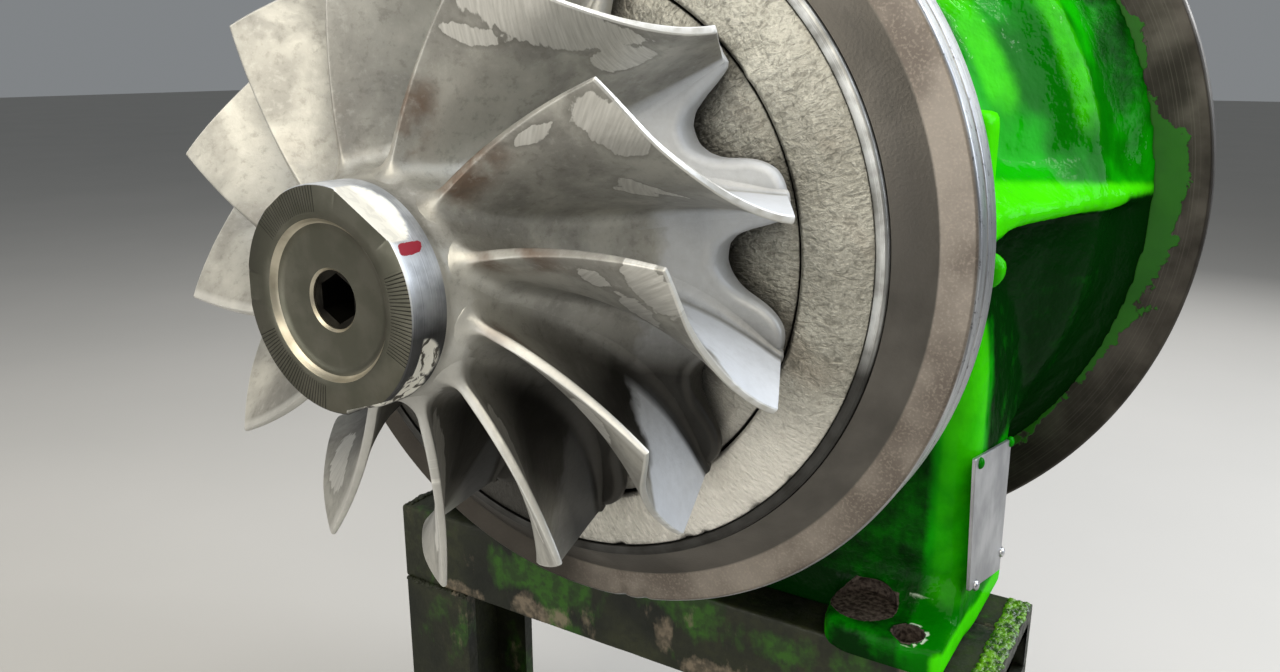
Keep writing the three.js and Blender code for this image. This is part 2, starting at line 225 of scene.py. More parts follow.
def around(radius: np.ndarray, station: np.ndarray, clock: np.ndarray) -> np.ndarray:
    """Points at radii, stations and clock angles in degrees about the rotor's axis.

    Args:
        radius: Distances from the axis.
        station: Distances behind the nose face.
        clock: Clock angles.

    Returns:
        An array with the coordinates on its last axis.
    """
    turn = np.radians(clock)
    return np.stack(np.broadcast_arrays(radius * np.sin(turn), station, radius * np.cos(turn)), axis=-1)


def rounded(profile: Sequence[tuple], radius: float, steps: int = 3) -> list[tuple]:
    """Rounds the corners of a closed profile.

    Args:
        profile: Corners in order.
        radius: How far each rounding reaches along its edges, where they are long enough.
        steps: Segments in each rounded corner.

    Returns:
        The profile with each corner replaced by a short curve.
    """
    corners = [np.array(p, float) for p in profile]
    made = []
    for i, corner in enumerate(corners):
        before, after = corners[i - 1], corners[(i + 1) % len(corners)]
        reach = [min(radius, 0.42 * np.linalg.norm(other - corner)) for other in (before, after)]
        start = corner + (before - corner) / np.linalg.norm(before - corner) * reach[0]
        end = corner + (after - corner) / np.linalg.norm(after - corner) * reach[1]
        for k in range(steps + 1):
            t = k / steps
            made.append(tuple((1 - t) ** 2 * start + 2 * t * (1 - t) * corner + t * t * end))
    return made


def refined(outline: np.ndarray, longest: float) -> np.ndarray:
    """Adds points on the long straight stretches of a closed outline.

    Args:
        outline: The outline.
        longest: The length of a stretch that gets one more point.

    Returns:
        The outline with its new points.
    """
    made = []
    for point, after in zip(outline, np.roll(outline, -1, axis=0)):
        parts = max(1, int(np.linalg.norm(after - point) // longest))
        made += [point + (after - point) * k / parts for k in range(parts)]
    return np.array(made)


def linked(name: str, data: bpy.types.ID) -> bpy.types.Object:
    """Puts a mesh, lamp or camera in the scene.

    Args:
        name: The object's name.
        data: What it shows.

    Returns:
        The object.
    """
    made = bpy.data.objects.new(name, data)
    bpy.context.scene.collection.objects.link(made)
    return made


class Shell:
    """Collects patches of a surface and turns them into one closed mesh object."""

    def __init__(self) -> None:
        """Starts with no patches."""
        self.points: list[np.ndarray] = []
        self.faces: list[tuple[int, ...]] = []
        self.values: dict[str, list[np.ndarray]] = {}
        self.count = 0

    def grid(self, points: np.ndarray, wrap: tuple = (False, False), **values: np.ndarray) -> None:
        """Adds a grid of quads.

        Args:
            points: Rows by columns by three, in millimetres.
            wrap: Whether the last row joins the first, and the last column the first.
            values: Numbers for each point, stored as attributes.
        """
        rows, columns = points.shape[:2]
        index = np.arange(rows * columns).reshape(rows, columns) + self.count
        if wrap[0]:
            index = np.vstack([index, index[:1]])
        if wrap[1]:
            index = np.hstack([index, index[:, :1]])
        quads = np.stack([index[:-1, :-1], index[:-1, 1:], index[1:, 1:], index[1:, :-1]], axis=-1)
        self.faces += [tuple(q) for q in quads.reshape(-1, 4).tolist()]
        self.points.append(points.reshape(-1, 3))
        for name in set(self.values) | set(values):
            self.values.setdefault(name, [np.zeros(self.count)])
            given = values.get(name, 0.0)
            self.values[name].append(np.broadcast_to(given, (rows, columns)).ravel().astype(float))
        self.count += rows * columns

    def loft(self, rings: Sequence) -> None:
        """Adds a solid that runs through rings of equally many points and is closed at both ends.

        Args:
            rings: One list of points for each ring, in order.
        """
        rings = np.array(rings, float)
        ends = [np.repeat(ring.mean(0)[None], len(ring), axis=0) for ring in (rings[0], rings[-1])]
        self.grid(np.array([ends[0], *rings, ends[1]]), wrap=(False, True))

    def build(self, name: str, crease: float = 35.0, weld: float = 0.01) -> bpy.types.Object:
        """Makes the mesh object, welded, facing outwards, smooth but for its creases.

        Args:
            name: The piece's name.
            crease: Edges that bend by more degrees than this stay sharp.
            weld: Points closer than this, in millimetres, become one.

        Returns:
            The object, linked to the scene.
        """
        mesh = bpy.data.meshes.new(name)
        mesh.from_pydata(place(np.vstack(self.points)).tolist(), [], self.faces)
        store(mesh, **{key: np.concatenate(parts) for key, parts in self.values.items()})
        work = bmesh.new()
        work.from_mesh(mesh)
        bmesh.ops.remove_doubles(work, verts=work.verts, dist=weld * MM)
        bmesh.ops.dissolve_degenerate(work, edges=work.edges, dist=1e-7)
        bmesh.ops.recalc_face_normals(work, faces=work.faces)
        work.to_mesh(mesh)
        work.free()
        mesh.shade_smooth()
        mesh.set_sharp_from_angle(angle=math.radians(crease))
        return linked(name, mesh)


def applied(made: bpy.types.Object) -> bpy.types.Object:
    """Bakes an object's modifiers into its mesh and drops them.

    Args:
        made: The object with modifiers.

    Returns:
        The same object with a plain mesh.
    """
    graph = bpy.context.evaluated_depsgraph_get()
    mesh = bpy.data.meshes.new_from_object(made.evaluated_get(graph))
    made.modifiers.clear()
    made.data = mesh
    return made


def new_tree(name: str, **kinds: str) -> tuple[Tree, bpy.types.bpy_prop_collection]:
    """Starts a geometry node tree that takes named inputs and gives one geometry.

    Args:
        name: The tree's name.
        kinds: The kind of each input, by its name with an underscore for each space.

    Returns:
        The tree, and its inputs as sockets.
    """
    tree = bpy.data.node_groups.new(name, "GeometryNodeTree")
    for label, kind in kinds.items():
        label = label.replace("_", " ")
        tree.interface.new_socket(label, in_out="INPUT", socket_type=f"NodeSocket{kind}")
    tree.interface.new_socket("Result", in_out="OUTPUT", socket_type="NodeSocketGeometry")
    return tree, add(tree, "NodeGroupInput").outputs


def end_tree(tree: Tree, copies: Feed, metal: Socket) -> Tree:
    """Ends a geometry node tree with real geometry and its material.

    Args:
        tree: The tree.
        copies: The instances that it makes.
        metal: The material.

    Returns:
        The same tree.
    """
    solid = add(tree, "GeometryNodeRealizeInstances", {0: copies})
    dressed = add(tree, "GeometryNodeSetMaterial", {"Geometry": solid, "Material": metal})
    add(tree, "NodeGroupOutput", {0: dressed})
    return tree


def grown(made: bpy.types.Object, tree: Tree, values: dict) -> bpy.types.Object:
    """Runs a geometry node tree on an object and keeps the result as its mesh.

    Args:
        made: The object.
        tree: The tree.
        values: The tree's inputs by name.

    Returns:
        The same object.
    """
    modifier = made.modifiers.new(tree.name, "NODES")
    modifier.node_group = tree
    names = {item.name: item.identifier for item in tree.interface.items_tree if item.in_out == "INPUT"}
    for name, value in values.items():
        modifier[names[name]] = value
    return applied(made)


@dataclass(frozen=True)
class Domes:
    """Small domes that sit on points, such as rivet heads and the ripples of a weld.

    Each is stretched along x, y and z by a draw from least to most and tilted by up to tilt radians.
    """

    radius: float
    segments: int
    rings: int
    least: tuple[float, float, float]
    most: tuple[float, float, float]
    tilt: float = 0.0
    seed: int = 5

    def tree(self) -> Tree:
        """Geometry nodes that put one dome on each point, each turned and stretched by its own draw.

        Returns:
            The tree, which all domes share.
        """
        known = bpy.data.node_groups.get("domes_on_points")
        if known:
            return known
        tree, given = new_tree(
            "domes_on_points",
            Points="Geometry",
            Radius="Float",
            Segments="Int",
            Rings="Int",
            Least="Vector",
            Most="Vector",
            Lean_Back="Vector",
            Lean_Ahead="Vector",
            Seed="Int",
            Metal="Material",
        )
        spots = add(tree, "GeometryNodeMeshToPoints", {"Mesh": given["Points"]})
        sizes = {name: given[name] for name in ("Radius", "Segments", "Rings")}
        dome = add(tree, "GeometryNodeMeshUVSphere", sizes)
        smooth = add(tree, "GeometryNodeSetShadeSmooth", {"Geometry": dome})
        lean, size = (
            add(
                tree,
                "FunctionNodeRandomValue",
                {0: given[low], 1: given[high], "Seed": given["Seed"]},
                data_type="FLOAT_VECTOR",
            )
            for low, high in (("Lean Back", "Lean Ahead"), ("Least", "Most"))
        )
        copies = add(
            tree,
            "GeometryNodeInstanceOnPoints",
            {"Points": spots, "Instance": smooth, "Rotation": lean, "Scale": size},
        )
        return end_tree(tree, copies, given["Metal"])

    def build(self, name: str, points: np.ndarray, finish: "Finish") -> None:
        """Makes and dresses one piece of domes.

        Args:
            name: The piece's name.
            points: Where the domes sit.
            finish: What covers them.
        """
        mesh = bpy.data.meshes.new(name)
        mesh.from_pydata(place(points).tolist(), [], [])
        values = {
            "Radius": self.radius * MM,
            "Segments": self.segments,
            "Rings": self.rings,
            "Least": self.least,
            "Most": self.most,
            "Lean Back": (-self.tilt,) * 3,
            "Lean Ahead": (self.tilt,) * 3,
            "Seed": self.seed,
            "Metal": finish.material(),
        }
        dress(grown(linked(name, mesh), self.tree(), values), finish, Body.CORE)


def dress(
    made: bpy.types.Object,
    finish: "Finish",
    body: Body,
    stands_for: Sequence[str] = (),
) -> bpy.types.Object:
    """Gives a piece its material and its body, and reports it.

    Args:
        made: The piece.
        finish: What its surface is.
        body: What it moves with.
        stands_for: The nodes of the frame that it is shown in place of.

    Returns:
        The same piece.
    """
    made.data.materials.clear()
    made.data.materials.append(finish.material())
    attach(made, body.value)
    if stands_for:
        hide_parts(*stands_for)
    log.info("%s: %d faces", made.name, len(made.data.polygons))
    return made


class Where(NamedTuple):
    """Where a point of a piece lies: in metres, and in millimetres about the rotor's axis."""

    spot: Socket
    x: Socket
    station: Socket
    z: Socket
    radius: Socket
    turn: Socket


@dataclass(frozen=True)
class Finish:
    """A surface finish, which becomes one material."""

    name: str = "plain"
    slot: str = "machined_steel"

    def material(self) -> bpy.types.Material:
        """Makes the material once and returns it each time.

        Returns:
            The material.
        """
        known = bpy.data.materials.get(self.name)
        if known:
            return known
        made = bpy.data.materials.new(self.name)
        made.use_nodes = True
        made.node_tree.nodes.clear()
        self.build(made.node_tree)
        return made

    def build(self, tree: Tree) -> None:
        """Fills the material's node tree."""
        raise NotImplementedError

    def where(self, tree: Tree) -> Where:
        """Adds the nodes that tell where a point lies.

        Args:
            tree: The node tree.

        Returns:
            The sockets, of which turn is the clock angle as a share of a turn from -0.5 to 0.5.
        """
        spot = add(tree, "TexCoord").outputs["Object"]
        middle = (0, -NOSE_Y * PER_M, -AXIS_Z * PER_M)
        local = add(tree, "Mapping", {"Vector": spot, "Location": middle, "Scale": (PER_M, PER_M, PER_M)})
        x, station, z = add(tree, "SeparateXYZ", {0: local}).outputs
        flat = add(tree, "CombineXYZ", {0: x, 1: z})
        radius = add(tree, "VectorMath", {0: flat}, operation="LENGTH").outputs["Value"]
        angle = add(tree, "Math", {0: x, 1: z}, operation="ARCTAN2")
        turn = add(tree, "Math", {0: angle, 1: math.tau}, operation="DIVIDE").outputs[0]
        return Where(spot, x, station, z, radius, turn)

    def crevice_shade(self, tree: Tree, reach: float) -> Node:
        """Share of painted shade in corners and narrow gaps, from ambient occlusion.

        Args:
            tree: The node tree.
            reach: How far it looks about, in millimetres.

        Returns:
            A node that gives 0 to 1.
        """
        around_it = add(tree, "AmbientOcclusion", {"Distance": reach * MM}, samples=4)
        return add(tree, "MapRange", {0: around_it.outputs["AO"], 1: 0.75, 2: 0.3})

    def shade_low_left(self, tree: Tree, at: Where) -> Node:
        """Share of the painted shade that darkens the turbine side's lower left.

        Args:
            tree: The node tree.
            at: Where the point lies.

        Returns:
            A node that gives 0 to 1.
        """
        torn = add(tree, "TexNoise", {"Vector": at.spot, "Scale": PER_M / 30, "Detail": 5.0})
        shift = add(tree, "Math", {0: torn, 1: 50.0, 2: at.x}, operation="MULTIPLY_ADD")
        left = add(tree, "MapRange", {0: shift, 1: 50.0, 2: 10.0}, interpolation_type="SMOOTHSTEP")
        low = add(tree, "MapRange", {0: at.z, 1: -20.0, 2: -75.0})
        return add(tree, "Math", {0: left, 1: low}, operation="MULTIPLY")


@dataclass(frozen=True)
class InvestmentCast(Finish):
    """Heat-resisting steel, investment cast and cleaned by shot blast: a satin grey that is mottled, not
    grained.
    """

    name: str = "investment_cast_steel"
    slot: str = "cast_alloy"
    dark: str = "#93918a"
    light: str = "#b9b7ae"
    oxide: str = "#6c5645"
    ground: str = "#e6e4dd"
    painted_side_light: str = "#c9ccd0"
    low_shade: str = "#262420"
    mottle: float = 34.0
    blast_grain: float = 1.6
    stroke: float = 0.9
    stroke_turn: float = 0.55
    blade_length: float = 105.0
    blade_height: float = 80.0

    def build(self, tree: Tree) -> None:
        """Mottled metal with brown oxide at the exducer edge, painted shade low down, a painted bluish
        reflection on the right and a grinder's patches.

        Args:
            tree: The material's node tree.
        """
        at = self.where(tree)
        span, stream, number, milled, rear, marked = (
            add(tree, "Attribute", attribute_name=name).outputs["Fac"]
            for name in ("span", "stream", "number", "milled", "rear", "ground")
        )
        rows = ((self.mottle, 5, 0.5, 0.6), (self.blast_grain, 3, 0.5, 0), (19, 4, 0.5, 0))
        clouds, grain, blotch, fine, swell = (
            add(
                tree,
                "TexNoise",
                {
                    "Vector": at.spot,
                    "Scale": PER_M / size,
                    "Detail": detail,
                    "Roughness": rough,
                    "Distortion": bend,
                },
            )
            for size, detail, rough, bend in (*rows, (4.5, 6, 0.7, 0), (11, 2, 0.5, 0))
        )
        blotch = add(tree, "MapRange", {0: blotch, 1: 0.42, 2: 0.56, 4: 0.85})
        late = add(tree, "Math", {0: blotch, 1: 0.05, 2: stream}, operation="MULTIPLY_ADD")
        late, root, tinted, high, right, low_span, above, clear, deep, inner, short, lower, lip, brushed = (
            add(tree, "MapRange", dict(enumerate(row)))
            for row in (
                (late, 0.57, 0.62),
                (span, 0.03, 0.1),
                (number, 3.4, 3.6, 1.0, 0.15),
                (span, 0.06, 0.14),
                (at.x, 30.0, 60.0, 0.0, 0.8),
                (span, 0.09, 0.02),
                (at.z, -40.0, 0.0),
                (number, 3.4, 3.6, 1.0, 0.12),
                (at.z, 6.0, -62.0, 0.0, 0.95),
                (stream, 0.05, 0.3, 0.35, 1.0),
                (span, 0.5, 0.85, 1.0, 0.12),
                (at.z, 5.0, -15.0),
                (span, 0.988, 0.994, 0.0, 0.6),
                (stream, 0.035, 0.015, 0.0, 0.5),
            )
        )
        skin = lay(tree, self.dark, self.light, clouds, (0.36, 0.66), eased=True)
        # gas oxide on the inner half of the exducer edge
        edge = add(tree, "MapRange", {0: stream, 1: 0.13, 2: 0.03}, interpolation_type="SMOOTHSTEP")
        skin = lay(tree, skin, self.oxide, span, (0.6, 0.3), (edge, root, tinted, blotch), eased=True)
        skin = lay(tree, skin, "#605c54", fine, (0.53, 0.66, 0.32))
        skin = lay(tree, skin, "#c9c7bf", fine, (0.46, 0.32, 0.3))
        # painted shade between the lower blades, darker towards the bottom
        low_shade_share = add(tree, "Math", {0: clouds, 1: 0.6, 2: deep}, operation="MULTIPLY_ADD")
        skin = lay(tree, skin, self.low_shade, low_shade_share, (0.38, 1.0, 0.96), (inner, short))
        # painted reflection: the rear of each inducer corner and the floors on the right are made pale and
        # bluish, as if lit by a bluish side light, and less metallic and rougher there
        floor = add(tree, "Math", {0: low_span, 1: right}, operation="MULTIPLY")
        floor = add(tree, "Math", {0: floor, 1: above}, operation="MULTIPLY")
        painted_side_light_share = add(tree, "Math", {0: high, 1: rear}, operation="MULTIPLY")
        painted_side_light_share = add(tree, "Math", {0: painted_side_light_share, 1: floor}, operation="MAXIMUM")
        shot = add(tree, "Math", {0: fine, 1: -0.4, 2: 1.15}, operation="MULTIPLY_ADD")
        for limit in (late, clear, shot):
            painted_side_light_share = add(tree, "Math", {0: painted_side_light_share, 1: limit}, operation="MULTIPLY")
        skin = lay(tree, skin, self.painted_side_light, painted_side_light_share)
        # painted shade in corners and narrow gaps
        skin = lay(tree, skin, "#2b2926", self.crevice_shade(tree, 12.0), (0.0, 1.0, 0.75))
        # a grinder's patches, marked on the mesh, torn in outline and drawn across the blade
        across, along, layer = (
            add(tree, "Math", {0: value, 1: length}, operation="MULTIPLY")
            for value, length in ((stream, self.blade_length), (span, self.blade_height), (number, 61.0))
        )
        own = add(tree, "CombineXYZ", {0: across, 1: along, 2: layer})
        torn = add(
            tree,
            "TexNoise",
            {"Vector": own, "Scale": 1 / 13, "Detail": 7.0, "Roughness": 0.6, "Distortion": 0.6},
        )
        streaks, strokes = (
            add(
                tree,
                "TexNoise",
                {
                    "Vector": add(
                        tree,
                        "Mapping",
                        {"Vector": own, "Rotation": (0, 0, self.stroke_turn), "Scale": (1.0, long, 1.0)},
                        vector_type="TEXTURE",
                    ),
                    "Scale": 1 / size,
                    "Detail": detail,
                },
            )
            for long, size, detail in ((6.0, 2.6, 3.0), (16.0, self.stroke, 2.0))
        )
        torn = add(tree, "Math", {0: streaks, 1: torn}, operation="ADD")
        excess = add(tree, "Math", {0: torn, 1: 0.62, 2: marked}, operation="MULTIPLY_ADD")
        patch = add(tree, "MapRange", {0: excess, 1: 1.12, 2: 1.18})
        skin = lay(tree, skin, "#74726b", excess, (0.82, 1.14, 0.5))
        skin = lay(tree, skin, lay(tree, "#a6a49c", self.ground, strokes), patch)
        brushed = add(tree, "Math", {0: brushed, 1: lower}, operation="MULTIPLY")
        lip = add(tree, "Math", {0: lip, 1: brushed}, operation="MAXIMUM")
        skin = lay(tree, skin, "#d2d1cb", lip)
        skin = lay(tree, skin, "#d8d6cd", milled)
        bare = add(tree, "Math", {0: patch, 1: milled}, operation="MAXIMUM")
        rough = add(tree, "MapRange", {0: clouds, 1: 0.3, 2: 0.7, 3: 0.50, 4: 0.40})
        for share, change in ((bare, -0.1), (painted_side_light_share, 0.14)):
            rough = add(tree, "Math", {0: share, 1: change, 2: rough}, operation="MULTIPLY_ADD")
        metal = add(tree, "MapRange", {0: painted_side_light_share, 3: 0.64, 4: 0.25})
        scored = add(tree, "Math", {0: strokes, 1: bare}, operation="MULTIPLY")
        relief = ((swell, 0.3), (fine, 0.16), (grain, 0.06), (scored, 0.05))
        surface(tree, skin, rough, relief, {"Metallic": metal})


@dataclass(frozen=True)
class TurnedNose(Finish):
    """The wheel's turned nose face: an olive film over fine rings, with groups of short radial scribes."""

    name: str = "turned_nose_face"
    slot: str = "cast_alloy"
    film: str = "#545348"
    thin_film: str = "#646257"
    scribe: str = "#201f1a"
    scribes_in_a_turn: float = 174.0
    scribed_from: float = 30.2
    groups: tuple = ((-175, -114), (-52, -3), (67, 118))
    tool_ring: float = 0.35

    def build(self, tree: Tree) -> None:
        """Rings all over, and the scribes out to the rim in three arcs.

        Args:
            tree: The material's node tree.
        """
        at = self.where(tree)
        phase = add(tree, "Math", {0: at.radius, 1: 1 / self.tool_ring}, operation="MULTIPLY")
        rings = add(tree, "TexNoise", {"W": phase, "Scale": 1.0, "Detail": 2.0}, noise_dimensions="1D")
        clouds, speck = (
            add(tree, "TexNoise", {"Vector": at.spot, "Scale": PER_M / size, "Detail": detail})
            for size, detail in ((13, 5), (1.3, 2))
        )
        skin = lay(tree, self.film, self.thin_film, clouds, (0.36, 0.68), eased=True)
        skin = lay(tree, skin, "#4f4e45", speck, (0.64, 0.74, 0.35))
        phase = add(tree, "Math", {0: at.turn, 1: self.scribes_in_a_turn * math.tau}, operation="MULTIPLY")
        line = add(tree, "MapRange", {0: add(tree, "Math", {0: phase}, operation="SINE"), 1: 0.55, 2: 0.9})
        start = add(tree, "MapRange", {0: at.radius, 1: self.scribed_from, 2: self.scribed_from + 0.5})
        inside: Feed = 0.0
        for low, high in self.groups:
            window = {0: at.turn, 1: (low + high) / 720, 2: (high - low) / 720}
            here = add(tree, "Math", window, operation="COMPARE")
            inside = add(tree, "Math", {0: here, 1: inside}, operation="ADD")
        for limit in (start, inside):
            line = add(tree, "Math", {0: line, 1: limit}, operation="MULTIPLY")
        skin = lay(tree, skin, self.scribe, line, (0.0, 1.0, 0.92))
        high = add(tree, "Math", {0: 1.0, 1: line}, operation="SUBTRACT")
        rough = add(tree, "MapRange", {0: clouds, 1: 0.3, 2: 0.7, 3: 0.42, 4: 0.34})
        surface(tree, skin, rough, ((rings, 0.015), (high, 0.3)), {"Metallic": 1.0})


@dataclass(frozen=True)
class TurnedSteel(Finish):
    """Steel off the lathe: bright, with fine rings about the axis and thin dull stains."""

    name: str = "turned_steel"
    light: str = "#c2c3c4"
    dark: str = "#85868a"
    roughness: float = 0.28
    tool_ring: float = 0.5
    mark: tuple | None = None
    mark_colour: str = "#8e1228"
    shade_below: float | None = None

    def build(self, tree: Tree) -> None:
        """Rings from radius and station together, so that faces and cylinders both show them.

        Args:
            tree: The material's node tree.
        """
        at = self.where(tree)
        both = add(tree, "Math", {0: at.radius, 1: at.station}, operation="ADD")
        phase = add(tree, "Math", {0: both, 1: 1 / self.tool_ring}, operation="MULTIPLY")
        rings = add(tree, "TexNoise", {"W": phase, "Scale": 1.0, "Detail": 3.0}, noise_dimensions="1D")
        stains = add(tree, "TexNoise", {"Vector": at.spot, "Scale": PER_M / 12, "Detail": 5.0})
        mixed = add(tree, "Math", {0: rings, 1: 0.3, 2: stains}, operation="MULTIPLY_ADD")
        skin: Feed = lay(tree, self.dark, self.light, mixed, (0.45, 0.8), eased=True)
        dull = {0: stains, 1: 0.3, 2: 0.7, 3: self.roughness + 0.12, 4: self.roughness}
        rough = add(tree, "MapRange", dull)
        milled = add(tree, "Attribute", attribute_name="milled").outputs["Fac"]
        # painted shade: the piece darkens towards near-black below the given height
        if self.shade_below is not None:
            low = add(tree, "MapRange", {0: at.z, 1: self.shade_below, 2: self.shade_below - 20, 4: 0.9})
            skin = lay(tree, skin, "#24221f", low)
            rough = add(tree, "Math", {0: low, 1: 0.15, 2: rough}, operation="MULTIPLY_ADD")
        # a grinder has left ragged strokes on the lower cuts
        round_it = add(tree, "Math", {0: at.turn, 1: 52.0}, operation="MULTIPLY")
        back = add(tree, "Math", {0: at.station, 1: 1 / 2.6}, operation="MULTIPLY")
        wrapped = add(tree, "CombineXYZ", {0: round_it, 1: back})
        rags = add(tree, "TexNoise", {"Vector": wrapped, "Scale": 1.0, "Detail": 4.0, "Distortion": 0.8})
        rags = add(tree, "MapRange", {0: rags, 1: 0.4, 2: 0.48})
        upper = add(tree, "MapRange", {0: at.z, 1: -3.0, 2: 3.0, 4: 0.9})
        rags = add(tree, "Math", {0: rags, 1: upper}, operation="MAXIMUM")
        skin = lay(tree, skin, lay(tree, "#55524a", "#eceae0", rags), milled)
        metal = add(tree, "MapRange", {0: milled, 3: 1.0, 4: 0.55})
        if self.mark:
            # a dab of paint pen that lines the rotor up when it is balanced
            clock, width, middle, length = self.mark
            reach: Feed = 0.0
            edges = ((at.turn, clock / 360, width / 720), (at.station, middle, length / 2))
            for value, centre, half in edges:
                away = add(tree, "Math", {0: value, 1: centre}, operation="SUBTRACT")
                away = add(tree, "Math", {0: away, 1: half}, operation="DIVIDE")
                away = add(tree, "Math", {0: away, 1: 4.0}, operation="POWER")
                reach = add(tree, "Math", {0: away, 1: reach}, operation="ADD")
            edge = add(tree, "TexNoise", {"Vector": at.spot, "Scale": PER_M / 3, "Detail": 3.0})
            limit = add(tree, "MapRange", {0: edge, 1: 0.3, 2: 0.7, 3: 0.3, 4: 1.5})
            painted = add(tree, "Math", {0: reach, 1: limit}, operation="LESS_THAN")
            skin = lay(tree, skin, self.mark_colour, painted)
            metal = add(tree, "Math", {0: metal, 1: painted}, operation="SUBTRACT", use_clamp=True)
        scored = add(tree, "Math", {0: rags, 1: milled}, operation="MULTIPLY")
        surface(tree, skin, rough, ((rings, 0.03), (scored, 0.12), (stains, 0.12)), {"Metallic": metal})


@dataclass(frozen=True)
class SandCast(Finish):
    """Iron from a sand mould, cleaned by the exhaust: beige-grey with an even 1 to 2 mm grain."""

    name: str = "sand_cast_iron"
    slot: str = "rough_cast"
    dark: str = "#9d9b90"
    light: str = "#cac8bc"
    sand: float = 1.7
    relief: float = 0.8
    sooty_within: float = 0.0
    streaks_below: float = -50.0

    def build(self, tree: Tree) -> None:
        """Sand grain as relief, creases and faint brown clouds, wire-brush streaks and painted light on the
        low part, and painted shade in corners and low down.

        Args:
            tree: The material's node tree.
        """
        at = self.where(tree)
        grain, clouds, swell = (
            add(
                tree,
                "TexNoise",
                {"Vector": at.spot, "Scale": PER_M / size, "Detail": detail, "Roughness": rough},
            )
            for size, detail, rough in ((self.sand, 4, 0.6), (42, 5, 0.5), (9, 3, 0.5))
        )
        browned = {"Vector": at.spot, "Scale": PER_M / 24, "Detail": 3.0, "W": 3.0}
        warm = add(tree, "TexNoise", browned, noise_dimensions="4D")
        # both patterns follow the disc: creases nearly square, streaks drawn outwards
        creases, streak = (
            add(
                tree,
                "TexNoise",
                {
                    "Vector": add(
                        tree,
                        "CombineXYZ",
                        {
                            0: add(tree, "Math", {0: at.turn, 1: in_a_turn}, operation="MULTIPLY"),
                            1: add(tree, "Math", {0: at.radius, 1: 1 / length}, operation="MULTIPLY"),
                        },
                    ),
                    "Scale": 1.0,
                    "Detail": detail,
                    "Distortion": bend,
                },
            )
            for in_a_turn, length, detail, bend in ((300.0, 5.5, 4.0, 1.1), (560.0, 7.0, 3.0, 0.0))
        )
        skin = lay(tree, self.dark, self.light, clouds, (0.34, 0.68), eased=True)
        skin = lay(tree, skin, "#55524a", grain, (0.48, 0.34, 0.25))
        skin = lay(tree, skin, "#d9d6cc", grain, (0.54, 0.68, 0.2))
        skin = lay(tree, skin, "#97826e", warm, (0.52, 0.72, 0.2))
        skin = lay(tree, skin, "#5c5a50", creases, (0.47, 0.36, 0.45))
        if self.sooty_within:
            fading = (self.sooty_within + 26, self.sooty_within, 0.65)
            skin = lay(tree, skin, "#4d4a44", at.radius, fading, eased=True)
        # the low part has wire-brush streaks drawn outwards from the middle, and is lightened with painted
        # light, most in a patch on the lower right
        brushed = add(tree, "MapRange", {0: at.z, 1: self.streaks_below, 2: self.streaks_below - 60})
        line = add(tree, "MapRange", {0: streak, 1: 0.45, 2: 0.7})
        line = add(tree, "Math", {0: line, 1: brushed}, operation="MULTIPLY")
        lit_patch, lit_patch_edge = (
            add(tree, "MapRange", {0: at.turn, 1: start, 2: full, 4: most}, interpolation_type="SMOOTHSTEP")
            for start, full, most in ((0.29, 0.36, 0.5), (0.47, 0.41, 1.0))
        )
        lit_patch = add(tree, "Math", {0: lit_patch, 1: lit_patch_edge}, operation="MULTIPLY")
        faint = add(tree, "Math", {0: brushed, 1: 0.3, 2: lit_patch}, operation="MULTIPLY_ADD")
        faint = add(tree, "Math", {0: line, 1: 0.45, 2: faint}, operation="MULTIPLY_ADD", use_clamp=True)
        skin = lay(tree, skin, "#f0ece2", faint)
        # painted shade in corners and narrow gaps
        skin = lay(tree, skin, "#1f1e1a", self.crevice_shade(tree, 14.0))
        # painted shade on the lower left
        skin = lay(tree, skin, "#25231f", self.shade_low_left(tree, at), (0.0, 1.0, 0.93))
        metal = add(tree, "MapRange", {0: lit_patch, 2: 0.5, 3: 0.72, 4: 0.35})
        rough = add(tree, "MapRange", {0: grain, 1: 0.3, 2: 0.7, 3: 0.58, 4: 0.44})
        relief = ((swell, 0.35), (line, 0.3), (creases, 1.1), (grain, self.relief))
        surface(tree, skin, rough, relief, {"Metallic": metal})


